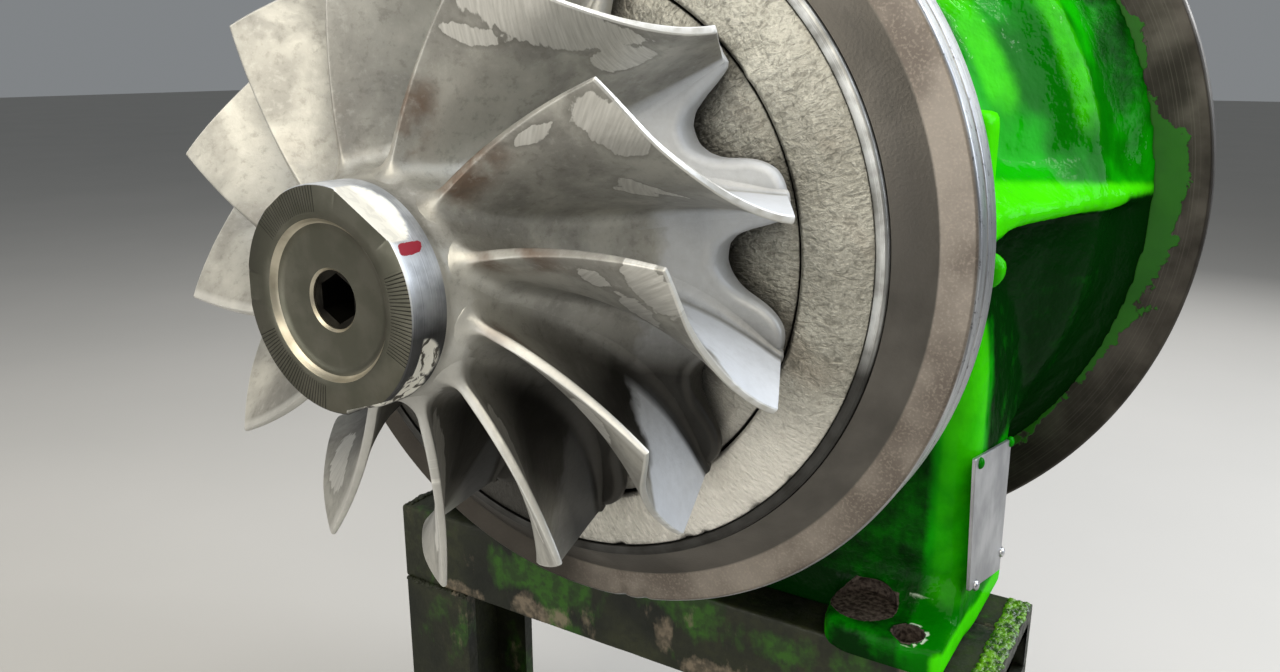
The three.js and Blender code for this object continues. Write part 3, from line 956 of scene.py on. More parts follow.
@dataclass(frozen=True)
class FlangeIron(Finish):
    """The turbine flange: a dark satin cone, a heat-browned turned face and a brushed grey rim."""

    name: str = "heat_tinted_flange_iron"
    slot: str = "tinted_cast"
    cone: str = "#6d6963"
    face: str = "#8d857b"
    rim: str = "#b9babb"
    face_from: float = 165.3
    rim_from: float = 179.2
    sand: float = 1.3

    def build(self, tree: Tree) -> None:
        """Three zones by their distance from the axis, each with a grain of its own.

        Args:
            tree: The material's node tree.
        """
        at = self.where(tree)
        grain, clouds, glint, pits = (
            add(
                tree,
                "TexNoise",
                {"Vector": at.spot, "Scale": PER_M / size, "Detail": detail, "Roughness": rough},
            )
            for size, detail, rough in ((self.sand, 3, 0.5), (36, 4, 0.5), (1.1, 3, 0.5), (3.4, 5, 0.7))
        )
        cone = lay(tree, "#57544f", self.cone, clouds, (0.32, 0.68), eased=True)
        face = lay(tree, "#665e56", self.face, clouds, (0.32, 0.68), eased=True)
        face = lay(tree, face, "#a3998c", glint, (0.5, 0.7, 0.35))
        # lathe and handling marks run round the rim, with small dark pits
        lines = add(tree, "Math", {0: at.station, 1: 1 / 0.55}, operation="MULTIPLY")
        round_it = add(tree, "Math", {0: at.turn, 1: 42.0}, operation="MULTIPLY")
        wrapped = add(tree, "CombineXYZ", {0: lines, 1: round_it})
        streak = add(tree, "TexNoise", {"Vector": wrapped, "Scale": 1.0, "Detail": 4.0})
        rim = lay(tree, "#77787a", self.rim, streak, (0.35, 0.7))
        on_face = add(tree, "MapRange", {0: at.radius, 1: self.face_from - 0.5, 2: self.face_from + 0.5})
        on_rim = add(tree, "MapRange", {0: at.radius, 1: self.rim_from - 0.2, 2: self.rim_from + 0.2})
        skin = lay(tree, cone, face, on_face)
        skin = lay(tree, skin, rim, on_rim)
        # painted shade on the lower left
        skin = lay(tree, skin, "#35322d", self.shade_low_left(tree, at), (0.0, 1.0, 0.85))
        skin = lay(tree, skin, "#33312e", pits, (0.42, 0.34, 0.7), (on_rim,))
        rough = add(tree, "Math", {0: on_rim, 1: -0.12, 2: 0.5}, operation="MULTIPLY_ADD")
        height = add(tree, "MapRange", {0: on_face, 3: 1.0, 4: 0.45})
        height = add(tree, "Math", {0: height, 1: grain}, operation="MULTIPLY")
        scored = add(tree, "Math", {0: streak, 1: on_rim}, operation="MULTIPLY")
        surface(tree, skin, rough, ((height, 0.13), (scored, 0.08)), {"Metallic": 0.92})


@dataclass(frozen=True)
class Enamel(Finish):
    """Brushed-on green enamel: a thick wet gloss over a lumpy casting, nearly black with oil and painted
    shade, and lime with painted light.
    """

    name: str = "green_gloss_enamel"
    slot: str = "green_enamel"
    lime: str = "#3dc605"
    green: str = "#0d9a03"
    deep: str = "#045c02"
    grease_and_shade: str = "#042405"
    metal: str = "#544b44"
    lump: float = 15.0
    wrinkle: float = 3.2

    def build(self, tree: Tree) -> None:
        """Colour from the lie of the casting, with the bare places, the oily places with painted shade, the
        painted light and the chipped places marked on its mesh.

        Args:
            tree: The material's node tree.
        """
        spot = self.where(tree).spot
        bare, grime, lit, chips_and_highlights_mark = (
            add(tree, "Attribute", attribute_name=name).outputs["Fac"]
            for name in ("bare", "grime", "lit", "shine")
        )
        rows = ((55, 4, 0.5), (13, 6, 0.62), (2.2, 4, 0.5), (self.lump, 3, 0.5), (self.wrinkle, 2, 0.5))
        clouds, torn, crumbs, lumps, wrinkles = (
            add(
                tree,
                "TexNoise",
                {"Vector": spot, "Scale": PER_M / size, "Detail": detail, "Roughness": rough},
            )
            for size, detail, rough in rows
        )
        thick, dirt, edge, shine = (
            add(tree, "Math", {0: torn, 1: much, 2: mark}, operation="MULTIPLY_ADD")
            for much, mark in ((0.5, lit), (0.9, grime), (0.3, bare), (1.1, chips_and_highlights_mark))
        )
        dirt = add(tree, "MapRange", {0: dirt, 1: 0.55, 2: 1.25}, interpolation_type="SMOOTHSTEP")
        patch = add(tree, "MapRange", {0: edge, 1: 0.62, 2: 0.68})
        crumbs = add(tree, "MapRange", {0: crumbs, 1: 0.36, 2: 0.66})
        skin = lay(tree, self.deep, self.green, clouds, (0.38, 0.66), eased=True)
        # painted light: lime where lit faces and highlights are marked, over random patches of thicker paint
        skin = lay(tree, skin, self.lime, thick, (0.3, 1.1), eased=True)
        # near-black with oil and painted shade: under the rib, in hollows and on faces turned from the light
        skin = lay(tree, skin, self.grease_and_shade, dirt)
        skin = lay(tree, skin, lay(tree, "#29231f", self.metal, crumbs), patch)
        # pale silvery green: the chipped rim of the bolt hole, and a painted highlight on the slope by the
        # lug
        skin = lay(tree, skin, "#b4c2ac", shine, (1.15, 1.35, 0.9))
        rough = add(tree, "MapRange", {0: dirt, 3: 0.07, 4: 0.35})
        rough = add(tree, "Math", {0: patch, 1: 0.35, 2: rough}, operation="MULTIPLY_ADD")
        crust = add(tree, "Math", {0: torn, 1: dirt}, operation="MULTIPLY")
        rust = add(tree, "Math", {0: crumbs, 1: patch}, operation="MULTIPLY")
        relief = ((lumps, 1.5), (wrinkles, 0.13), (crust, 1.2), (rust, 0.25))
        sheen = {"Specular IOR Level": 0.0, "Coat Weight": 0.08, "Coat Roughness": 0.04}
        surface(tree, skin, rough, relief, sheen)


@dataclass(frozen=True)
class BareFlange(Finish):
    """Turned iron gone dark with oil, with a brush's slips of green next to the housing."""

    name: str = "oiled_turned_iron"
    slot: str = "bare_flange"
    dark: str = "#2f2c28"
    light: str = "#4c4842"
    paint: str = "#256a08"
    painted_from: float = 219.0
    painted_to: float = 232.0
    slip_middle: float = 92.0
    slip_half: float = 17.0
    tool_ring: float = 0.8

    def build(self, tree: Tree) -> None:
        """Dark rings and oily clouds, and on the front face paint in one torn patch on each side.

        Args:
            tree: The material's node tree.
        """
        at = self.where(tree)
        phase = add(tree, "Math", {0: at.radius, 1: 1 / self.tool_ring}, operation="MULTIPLY")
        rings = add(tree, "TexNoise", {"W": phase, "Scale": 1.0, "Detail": 3.0}, noise_dimensions="1D")
        clouds, torn = (
            add(
                tree,
                "TexNoise",
                {"Vector": at.spot, "Scale": PER_M / size, "Detail": detail, "Roughness": rough},
            )
            for size, detail, rough in ((30, 5, 0.5), (26, 7, 0.6))
        )
        skin = lay(tree, self.dark, self.light, clouds, (0.34, 0.7), eased=True)
        skin = lay(tree, skin, "#605b54", rings, (0.55, 0.8, 0.3))
        # both sides alike: the distance of the clock angle from the patch's middle
        side = add(tree, "Math", {0: at.turn}, operation="ABSOLUTE")
        off = add(tree, "Math", {0: side, 1: self.slip_middle / 360}, operation="SUBTRACT")
        off = add(tree, "Math", {0: off}, operation="ABSOLUTE")
        window, wobble, front = (
            add(tree, "MapRange", dict(enumerate(row)))
            for row in (
                (off, self.slip_half / 360, (self.slip_half - 7) / 360, self.painted_from, self.painted_to),
                (torn, 0.3, 0.7, -12.0, 5.0),
                (at.station, 399.0, 397.0),
            )
        )
        limit = add(tree, "Math", {0: window, 1: wobble}, operation="ADD")
        excess = add(tree, "Math", {0: limit, 1: at.radius}, operation="SUBTRACT")
        spray = add(tree, "MapRange", {0: excess, 1: 0.0, 2: 0.8})
        spray = add(tree, "Math", {0: spray, 1: front}, operation="MULTIPLY")
        skin = lay(tree, skin, lay(tree, "#0b4404", self.paint, torn), spray)
        metal = add(tree, "MapRange", {0: spray, 3: 0.9, 4: 0.0})
        rough = add(tree, "MapRange", {0: clouds, 1: 0.3, 2: 0.7, 3: 0.52, 4: 0.38})
        sheen = {"Metallic": metal, "Specular IOR Level": 0.2}
        surface(tree, skin, rough, ((rings, 0.04), (spray, 0.25)), sheen)


@dataclass(frozen=True)
class WornPaint(Finish):
    """Green paint on angle iron, black with oil, smeared with new enamel and rubbed through in places."""

    name: str = "worn_green_paint"
    slot: str = "worn_green"
    paint: str = "#2b2e1c"
    oil: str = "#0e120a"
    smear: str = "#2c5710"
    primer: str = "#766a59"

    def build(self, tree: Tree) -> None:
        """Layers divided by torn noise; the runs of paint and rubbed places are taller than wide.

        Args:
            tree: The material's node tree.
        """
        spot = self.where(tree).spot
        runs = add(tree, "Mapping", {"Vector": spot, "Scale": (1.0, 1.0, 0.5)})
        clouds, smears, dirt = (
            add(
                tree,
                "TexNoise",
                {"Vector": where, "Scale": PER_M / size, "Detail": detail, "Roughness": rough},
            )
            for where, size, detail, rough in ((spot, 60, 5, 0.5), (runs, 34, 6, 0.62), (spot, 5, 5, 0.5))
        )
        scuffed = {"Vector": runs, "Scale": PER_M / 27, "Detail": 7.0, "Roughness": 0.68, "W": 2.0}
        scuffs = add(tree, "TexNoise", scuffed, noise_dimensions="4D")
        green, rubbed = (
            add(
                tree,
                "Math",
                {0: add(tree, "Attribute", attribute_name=name).outputs["Fac"], 1: much, 2: pattern},
                operation="MULTIPLY_ADD",
            )
            for name, much, pattern in (("moss", 0.2, smears), ("worn", 0.13, scuffs))
        )
        skin = lay(tree, self.paint, self.oil, clouds, (0.38, 0.64), eased=True)
        skin = lay(tree, skin, self.smear, green, (0.57, 0.7, 0.85))
        skin = lay(tree, skin, self.primer, rubbed, (0.59, 0.68, 0.8))
        skin = lay(tree, skin, "#1d1f17", dirt, (0.42, 0.6, 0.62))
        rough = add(tree, "MapRange", {0: dirt, 1: 0.3, 2: 0.7, 3: 0.4, 4: 0.65})
        surface(tree, skin, rough, ((dirt, 0.4), (smears, 1.4)), {"Specular IOR Level": 0.25})


@dataclass(frozen=True)
class WeldBead(Finish):
    """Welds under runs of fresh enamel: yellow-green, ropy and wet."""

    name: str = "painted_weld"
    slot: str = "worn_green"
    fresh: str = "#5f9212"
    shade: str = "#20390b"

    def build(self, tree: Tree) -> None:
        """Two greens in torn patches over rough relief.

        Args:
            tree: The material's node tree.
        """
        torn = add(tree, "TexNoise", {"Vector": self.where(tree).spot, "Scale": PER_M / 4, "Detail": 5.0})
        skin = lay(tree, self.shade, self.fresh, torn, (0.4, 0.66))
        rough = add(tree, "MapRange", {0: torn, 1: 0.3, 2: 0.7, 3: 0.2, 4: 0.4})
        surface(tree, skin, rough, ((torn, 0.8),))


@dataclass(frozen=True)
class PlateAluminium(Finish):
    """Bare rolled plate: flat grey with faint scratches along it and greasy clouds."""

    name: str = "rolled_plate"
    slot: str = "plate_metal"
    light: str = "#a9a9aa"
    dark: str = "#8b8b8c"
    scratch: float = 0.8

    def build(self, tree: Tree) -> None:
        """Scratches run up the plate, stretched thirty to one.

        Args:
            tree: The material's node tree.
        """
        spot = self.where(tree).spot
        drawn = add(tree, "Mapping", {"Vector": spot, "Scale": (1, 1, 0.03)})
        lines = add(tree, "TexNoise", {"Vector": drawn, "Scale": PER_M / self.scratch, "Detail": 3.0})
        clouds = add(tree, "TexNoise", {"Vector": spot, "Scale": PER_M / 22, "Detail": 4.0})
        skin = lay(tree, self.dark, self.light, clouds, (0.3, 0.7), eased=True)
        skin = lay(tree, skin, "#727273", lines, (0.58, 0.8, 0.35))
        rough = add(tree, "MapRange", {0: clouds, 1: 0.3, 2: 0.7, 3: 0.52, 4: 0.4})
        surface(tree, skin, rough, ((lines, 0.03),), {"Metallic": 0.9})


@dataclass(frozen=True)
class Bronze(Finish):
    """Turned bearing bronze: yellow-brown metal under oil."""

    name: str = "bearing_bronze"
    slot: str = "bearing_bronze"

    def build(self, tree: Tree) -> None:
        """Clouds of brown over yellow metal.

        Args:
            tree: The material's node tree.
        """
        clouds = add(tree, "TexNoise", {"Vector": self.where(tree).spot, "Scale": PER_M / 8, "Detail": 4.0})
        rough = add(tree, "MapRange", {0: clouds, 1: 0.3, 2: 0.7, 3: 0.4, 4: 0.25})
        surface(tree, lay(tree, "#7a5d2c", "#b8935a", clouds), rough, (), {"Metallic": 1.0})


@dataclass(frozen=True)
class Floor(Finish):
    """Pale sealed concrete, matt with faint clouds."""

    name: str = "pale_floor"
    slot: str = ""

    def build(self, tree: Tree) -> None:
        """Two close greys.

        Args:
            tree: The material's node tree.
        """
        spot = self.where(tree).spot
        clouds = add(tree, "TexNoise", {"Vector": spot, "Scale": PER_M / 400, "Detail": 4.0})
        surface(tree, lay(tree, "#aaa8a3", "#b4b1ac", clouds), 0.8, ())


def spline(points: np.ndarray, share: np.ndarray) -> np.ndarray:
    """A smooth curve through points, with centripetal spacing.

    Args:
        points: The points that it passes through.
        share: Places along it from 0 to 1.

    Returns:
        The curve's points.
    """
    ends = np.vstack([2 * points[0] - points[1], points, 2 * points[-1] - points[-2]])
    at = np.clip(np.asarray(share, float), 0, 1) * (len(points) - 1)
    piece = np.minimum(at.astype(int), len(points) - 2)
    t = (at - piece)[..., None]
    a, b, c, d = (ends[piece + k] for k in range(4))
    pairs = ((a, b), (b, c), (c, d))
    gaps = [np.maximum(np.linalg.norm(q - p, axis=-1, keepdims=True) ** 0.5, 1e-4) for p, q in pairs]
    start = ((b - a) / gaps[0] - (c - a) / (gaps[0] + gaps[1]) + (c - b) / gaps[1]) * gaps[1]
    end = ((c - b) / gaps[1] - (d - b) / (gaps[1] + gaps[2]) + (d - c) / gaps[2]) * gaps[1]
    return b + start * t + (-3 * b + 3 * c - 2 * start - end) * t**2 + (2 * b - 2 * c + start + end) * t**3


@dataclass(frozen=True)
class NoseCut:
    """Metal taken off the nose's edge to balance the wheel: a flat, then a hollow ramp back out."""

    clock: float
    depth_from_axis: float
    floor_to: float
    ramp_to: float
    starts_at: float = 0.0
    stops_after: float = 70.0

    def limit(self, clock: np.ndarray, station: float) -> np.ndarray:
        """The radius that the cut leaves at each clock angle and station.

        Args:
            clock: Clock angles.
            station: How far behind the nose face.

        Returns:
            One radius for each clock angle.
        """
        off = (clock - self.clock + 180) % 360 - 180
        within = (off > -70) & (off < self.stops_after)
        flat = np.where(within, self.depth_from_axis / np.maximum(np.cos(np.radians(off)), 0.3), 99)
        share = min(max((station - self.floor_to) / (self.ramp_to - self.floor_to), 0.0), 1.0)
        return flat + share**2 * 6 if station >= self.starts_at else np.full_like(clock, 99.0)


@dataclass
class TurbineWheel:
    """Mixed-flow turbine wheel with a scalloped back disc."""

    blades: int = 12
    first_blade: float = 21.2
    wrap: float = 27.2
    hub_lag: float = 11.0
    root_thickness: float = 8.0
    tip_thickness: float = 2.8
    fillet: float = 7.0
    nose_radius: float = 40.0
    cove_radius: float = 28.4
    socket_radius: float = 10.4
    hex_radius: float = 9.0
    hex_depth: float = 26.0
    disc_back: float = 123.7
    edge_round: float = 4.0
    back_round: float = 1.6
    boss_radius: float = 30.0
    boss_end: float = 137.0
    columns: int = 40
    hub_line: tuple = (
        (42.5, 26), (44, 42), (48, 60), (57, 80), (72, 98), (90, 110), (106, 115.5), (119, 117.5),
    )
    shroud_line: tuple = ((117.5, 30), (117, 44), (120.5, 60), (126.5, 75), (134, 88))
    collar: tuple = ((40, 13), (40, 16), (39.9, 17.2), (39.8, 18.6), (40.3, 20.4), (41.1, 22.4), (42, 24.4))
    scallop: tuple = (
        (0, 118.7), (2.0, 118.5), (3.0, 116.4), (3.5, 111), (4.1, 103), (5.1, 95.8), (7.0, 92), (9.2, 90.8),
        (11.6, 90.5), (13.5, 91.6), (15.2, 93.4), (16.7, 95.8), (18.0, 99.3), (19.0, 103.5), (20.0, 107.8),
        (21.1, 111.6), (22.4, 114.8), (24.0, 117.4), (26.0, 118.6), (28.0, 118.7), (30, 118.7),
    )
    patches: tuple = (
        (0, 0.32, 0.88, 0.34, 0.13), (0, 0.60, 0.68, 0.12, 0.12), (0, 0.10, 0.70, 0.09, 0.05),
        (1, 0.15, 0.90, 0.13, 0.13), (1, 0.04, 0.60, 0.027, 0.1), (1, 0.42, 0.62, 0.1, 0.05),
        (1, 0.44, 0.52, 0.07, 0.03), (1, 0.52, 0.66, 0.07, 0.03),
        (2, 0.09, 0.90, 0.11, 0.13), (2, 0.09, 0.60, 0.05, 0.08), (2, 0.24, 0.72, 0.10, 0.10),
        (3, 0.12, 0.66, 0.10, 0.13), (4, 0.06, 0.50, 0.05, 0.35), (5, 0.06, 0.45, 0.06, 0.40),
        (6, 0.30, 0.80, 0.20, 0.12), (11, 0.25, 0.90, 0.20, 0.08),
    )
    cuts: tuple = (
        NoseCut(32.5, 36.9, 6.5, 14.0),
        NoseCut(119.0, 38.2, 6.0, 24.0, starts_at=5.5),
        NoseCut(141.0, 38.0, 6.0, 24.0, starts_at=3.5),
        NoseCut(161.0, 37.7, 5.0, 12.0, stops_after=10.0),
        NoseCut(-34.7, 39.2, 6.0, 10.0),
        NoseCut(-59.0, 39.7, 6.0, 10.0),
        NoseCut(-88.0, 38.8, 6.0, 10.0),
    )

    def hub_angle(self, stream: np.ndarray) -> np.ndarray:
        """The blade root's clock angle past its exducer tip."""
        sweep = 1.75 * stream - 0.75 * stream**2
        return -self.hub_lag + (self.wrap + self.hub_lag - 2) * sweep

    def camber(self, stream: np.ndarray, span: np.ndarray) -> np.ndarray:
        """The blade's middle surface.

        Args:
            stream: 0 at the exducer edge, 1 at the inducer edge.
            span: 0 at the hub, 1 at the shroud.

        Returns:
            Points of the first blade before it is turned to its clock angle.
        """
        hub = spline(np.array(self.hub_line, float), stream)
        shroud = spline(np.array(self.shroud_line, float), stream)
        sweep = 1.75 * stream - 0.75 * stream**2
        clock = (1 - span) * self.hub_angle(stream) + span * self.wrap * sweep
        flat = hub + (shroud - hub) * span[..., None]
        return around(flat[..., 0], flat[..., 1], clock)

    def half_thickness(self, stream: np.ndarray, span: np.ndarray) -> np.ndarray:
        """Half the blade's thickness: thin along the exducer edge and at the shroud.

        Args:
            stream: 0 at the exducer edge, 1 at the inducer edge.
            span: 0 at the hub, 1 at the shroud.

        Returns:
            Half the thickness at each place.
        """
        share = np.clip(span, 0, 1) ** 0.6
        tip = self.tip_thickness * (0.8 + 0.3 * stream)
        whole = self.root_thickness * (1 - share) + tip * share
        return whole * (0.45 + 0.55 * smoothstep(0, 0.18, stream) * (1 - share) + 0.55 * share) / 2

    def blade(self) -> Shell:
        """One blade: closed loops round its section, stacked from below the hub to the shroud edge.

        Returns:
            Its surface.
        """
        runs = ((0, 0.06, 4), (0.1, 0.93, 26), (0.96, 1, 3))
        places = np.concatenate([np.linspace(*run) for run in runs])
        low = np.array([-0.35, 0, 0.03, 0.09, 0.18, 0.3, 0.46, 0.68, 1.0]) * self.fillet
        outer, root = (spline(np.array(row, float), places) for row in (self.shroud_line, self.hub_line))
        tall = np.linalg.norm(outer - root, axis=-1)
        rise = np.concatenate([np.linspace(0.07, 1, 15)[:-1], [1.0, 1.0]])
        levels = [np.full_like(places, h) for h in low]
        levels += [self.fillet + (tall - self.fillet) * g for g in rise]
        levels[-2] = tall - 0.5
        line = np.vstack([
            spline(np.array(self.collar, float), np.linspace(0, 1, 120)),
            spline(np.array(self.hub_line, float), np.linspace(0, 1, 500)),
        ])
        loops, spans, streams, rears = [], [], [], []
        for number, height in enumerate(levels):
            span = height / tall
            step = 0.004
            inside = np.clip(places, step, 1 - step)
            along = self.camber(inside + step, span) - self.camber(inside - step, span)
            across = self.camber(inside, span + step) - self.camber(inside, span - step)
            side = np.cross(along, across)
            side /= np.linalg.norm(side, axis=-1, keepdims=True)
            along /= np.linalg.norm(along, axis=-1, keepdims=True)
            middle = self.camber(places, span)
            reach = self.fillet * (1 - 0.85 * smoothstep(0.5, 0.98, places))
            inner = np.clip(reach - np.maximum(height, 0), 0, None)
            flare = reach - np.sqrt(np.maximum(reach**2 - inner**2, 0))
            half = self.half_thickness(places, span)
            if number == len(levels) - 1:
                half = half - 0.5
            half = half + flare
            ends = []
            for where, sign in ((-1, 1), (0, -1)):
                turn = np.linspace(math.pi / 2, -math.pi / 2, 9)[1:-1][:, None]
                cap = 0.9 + min(flare[where], 5.5)
                blunt = 0.6 + 0.4 * min(1.0, flare[where] / 2)
                out = np.sign(np.sin(turn)) * np.abs(np.sin(turn)) ** blunt * half[where] * side[where]
                ahead = np.abs(np.cos(turn)) ** blunt * cap * along[where] * sign
                ends.append(middle[where] + out * sign + ahead)
            out = side * half[:, None]
            loop = np.vstack([middle + out, ends[0], (middle - out)[::-1], ends[1]])
            settle = 1 - smoothstep(0.0, self.fillet, np.maximum(height, 0).mean())
            loops.append(self.settle(loop, line, height.mean(), settle))
            streams.append(np.concatenate([places, np.ones(7), places[::-1], np.zeros(7)]))
            spans.append(np.concatenate([span, np.full(7, span[-1]), span[::-1], np.full(7, span[0])]))
            rears.append(np.concatenate([0 * places, np.linspace(0, 1, 7), places * 0 + 1, np.zeros(7)]))
        grid = np.array(loops)
        marks = {"stream": np.array(streams), "span": np.array(spans), "rear": np.array(rears)}
        shell = Shell()
        shell.grid(grid, wrap=(False, True), **marks)
        count = len(places)
        for row in (0, -1):
            right = grid[row][:count]
            left = grid[row][count + 7 : 2 * count + 7][::-1]
            flat_span = float(spans[row][0])
            shell.grid(np.array([right, left]), stream=np.array([places, places]), span=np.array(flat_span))
            for start, where in ((count, -1), (2 * count + 7, 0)):
                first, last = (right[where], left[where]) if where == -1 else (left[where], right[where])
                ring = np.vstack([first, grid[row][start : start + 7], last])
                pair = np.array([ring[:5], ring[::-1][:5]])
                shell.grid(pair, stream=np.array(places[where]), span=np.array(flat_span))
        return shell

    def settle(self, loop: np.ndarray, line: np.ndarray, height: float, share: float) -> np.ndarray:
        """Moves a loop's points so that they stand at a given height over the hub's line.

        Args:
            loop: The points.
            line: The hub's line as (radius, station).
            height: The height that the points should have.
            share: How much of the move is made.

        Returns:
            The moved points.
        """
        if share <= 0:
            return loop
        radius = np.hypot(loop[:, 0], loop[:, 2])
        flat = np.stack([radius, loop[:, 1]], axis=-1)
        slope = np.gradient(line, axis=0)
        slope /= np.maximum(np.linalg.norm(slope, axis=-1, keepdims=True), 1e-9)
        normal = np.stack([slope[:, 1], -slope[:, 0]], axis=-1)
        nearest = np.argmin(((flat[:, None] - line[None]) ** 2).sum(-1), axis=1)
        now = ((flat - line[nearest]) * normal[nearest]).sum(-1)
        moved = flat + normal[nearest] * ((height - now) * share)[:, None]
        scale = moved[:, 0] / np.maximum(radius, 1e-6)
        return np.stack([loop[:, 0] * scale, moved[:, 1], loop[:, 2] * scale], axis=-1)

    def scalloped_edge(self) -> tuple[np.ndarray, np.ndarray, np.ndarray]:
        """The disc's outline moved inwards by its edge rounding, all the way round.

        Returns:
            The moved outline, the outward direction at each of its points, and the rounding's radius there.
        """
        table = np.array(self.scallop, float)
        corner = around(table[:, 1], 0 * table[:, 1], table[:, 0])
        length = np.concatenate([[0], np.cumsum(np.linalg.norm(np.diff(corner, axis=0), axis=-1))])
        where = np.linspace(0, length[-1], self.columns + 1)[:-1]
        clock = np.interp(where, length, table[:, 0])
        radius = np.interp(where, length, table[:, 1])
        pitch = 360 / self.blades
        clocks = (pitch * np.arange(self.blades)[:, None] + clock[None]).ravel()
        ring = around(np.tile(radius, self.blades), 0.0, clocks)
        tangent = np.roll(ring, -1, axis=0) - np.roll(ring, 1, axis=0)
        outward = np.stack([-tangent[:, 2], 0 * tangent[:, 0], tangent[:, 0]], axis=-1)
        outward /= np.linalg.norm(outward, axis=-1, keepdims=True)
        outward *= np.sign((outward * ring).sum())
        floor = np.interp(np.tile(radius, self.blades), *np.array(self.hub_line, float).T)
        rounding = np.minimum(self.edge_round, 0.45 * (self.disc_back - floor))
        return ring - outward * rounding[:, None], outward, rounding

    def hub(self) -> Shell:
        """The hub from the nose's hex socket, over the floors between blades, to the back boss.

        Returns:
            Its surface.
        """
        edge, outward, rounding = self.scalloped_edge()
        pitch = 360 / self.blades
        edge_radius = np.hypot(edge[:, 0], edge[:, 2])
        edge_clock = np.degrees(np.unwrap(np.arctan2(edge[:, 0], edge[:, 2])))
        share = np.linspace(0, 1, self.columns + 1)[:-1]
        numbers = np.repeat(np.arange(self.blades), self.columns)
        even = (numbers + np.tile(share, self.blades)) * pitch
        dense = np.linspace(0, 1, 800)
        hub = spline(np.array(self.hub_line, float), dense)
        last = np.interp(edge_radius, hub[:, 0], dense)
        front = self.first_blade - self.hub_lag + even
        rows, streams, milled = [], [], []
        for radius, station in self.nose_rows():
            limit = np.full_like(front, radius)
            if radius >= self.cove_radius:
                for cut in self.cuts:
                    limit = np.minimum(limit, cut.limit(front, station))
            if radius == self.hex_radius:
                sixth = np.radians((front % 60) - 30)
                limit = self.hex_radius * math.cos(math.pi / 6) / np.cos(sixth)
                radius = limit
            rows.append(around(limit, station, front))
            streams.append(np.full_like(front, -0.1))
            milled.append(smoothstep(0.1, 0.4, radius - limit))
        for u in np.concatenate([np.linspace(0, 0.85, 26), np.linspace(0.88, 1, 8)]):
            stream = u * last
            end = edge_clock + self.hub_angle(np.array(1.0)) - self.hub_angle(last)
            off = even + (end - even) * smoothstep(0, 1, u) * u
            flat = spline(np.array(self.hub_line, float), stream)
            rows.append(around(flat[:, 0], flat[:, 1], self.first_blade + self.hub_angle(stream) + off))
            streams.append(stream)
        border = rows[-1]
        turn = np.radians(self.first_blade + self.hub_angle(np.array(1.0)))
        sideways = outward.copy()
        sideways[:, 0] = outward[:, 0] * math.cos(turn) + outward[:, 2] * math.sin(turn)
        sideways[:, 2] = outward[:, 2] * math.cos(turn) - outward[:, 0] * math.sin(turn)
        for angle in np.radians((15, 35, 55, 75, 90)):
            row = border + sideways * (rounding * math.sin(angle))[:, None]
            row[:, 1] += rounding * (1 - math.cos(angle))
            rows.append(row)
        for inset, up in ((0.0, 1.0), (0.3, 0.3), (1.0, 0.0)):
            row = border + sideways * (rounding - self.back_round * inset)[:, None]
            row[:, 1] = self.disc_back - self.back_round * up
            rows.append(row)
        rim = np.hypot(rows[-1][:, 0], rows[-1][:, 2])
        clock = np.degrees(np.arctan2(rows[-1][:, 0], rows[-1][:, 2]))
        for u in (0.15, 0.4, 0.7, 1.0):
            rows.append(around(rim * (1 - u) + 46 * u, self.disc_back + 0.5 * u, clock))
        b, e = self.boss_radius, self.boss_end
        for radius, station in ((36, 126), (31, 129), (b, 131), (b, e - 1), (b - 1, e), (12, e), (0.0, e)):
            rows.append(around(np.full_like(clock, radius), station, clock))
        streams += [np.full_like(front, 1.0)] * (len(rows) - len(streams))
        milled += [np.zeros_like(front)] * (len(rows) - len(milled))
        shell = Shell()
        shell.grid(np.array(rows), wrap=(False, True), stream=np.array(streams), milled=np.array(milled))
        return shell

    def nose_rows(self) -> list[tuple[float, float]]:
        """Rows from the bottom of the hex to the first floor row.

        Returns:
            The radius and station of each.
        """
        h, s, r = self.hex_radius, self.socket_radius, self.nose_radius
        rows = [(0.0, self.hex_depth), (h, self.hex_depth), (h, 5.6), (h + 0.25, 5.2), (s, 4.7), (s, 3.9)]
        rows += [(s + 0.9, 3.0), (23.8, 3.0), (25.2, 2.8), (26.6, 2.2), (27.6, 1.2), (28.15, 0.35)]
        rows += [(self.cove_radius, 0.1), (28.8, 0.0), (32, 0.0)]
        rows += [(r - 1.0, 0.0), (r - 0.5, 0.12), (r - 0.12, 0.5)]
        rows += [(r, y) for y in (1.2, 3, 5, 6.5, 7.3, 8.2, 9.0, 9.8, 10.6, 11.4, 12.2, 13.0, 13.8, 14.6)]
        rows += [(r, 15.2)]
        return rows + list(self.collar[1:])

    def ring_tree(self) -> Tree:
        """Geometry nodes that repeat one blade round the rotor's axis and number the copies.

        Returns:
            The tree.
        """
        tree, given = new_tree(
            "blade_ring", Blade="Geometry", Count="Int", First_Angle="Float", Metal="Material"
        )
        spots = add(tree, "GeometryNodePoints", {"Count": given["Count"]})
        number = add(tree, "GeometryNodeInputIndex")
        pitch = add(tree, "Math", {0: math.tau, 1: given["Count"]}, operation="DIVIDE")
        turn = add(tree, "Math", {0: number, 1: pitch}, operation="MULTIPLY")
        turn = add(tree, "Math", {0: turn, 1: given["First Angle"]}, operation="ADD")
        copies = add(
            tree,
            "GeometryNodeInstanceOnPoints",
            {"Points": spots, "Instance": given["Blade"], "Rotation": add(tree, "CombineXYZ", {1: turn})},
        )
        named = add(
            tree,
            "GeometryNodeStoreNamedAttribute",
            {"Geometry": copies, "Name": "number", "Value": number},
            data_type="FLOAT",
            domain="INSTANCE",
        )
        return end_tree(tree, named, given["Metal"])

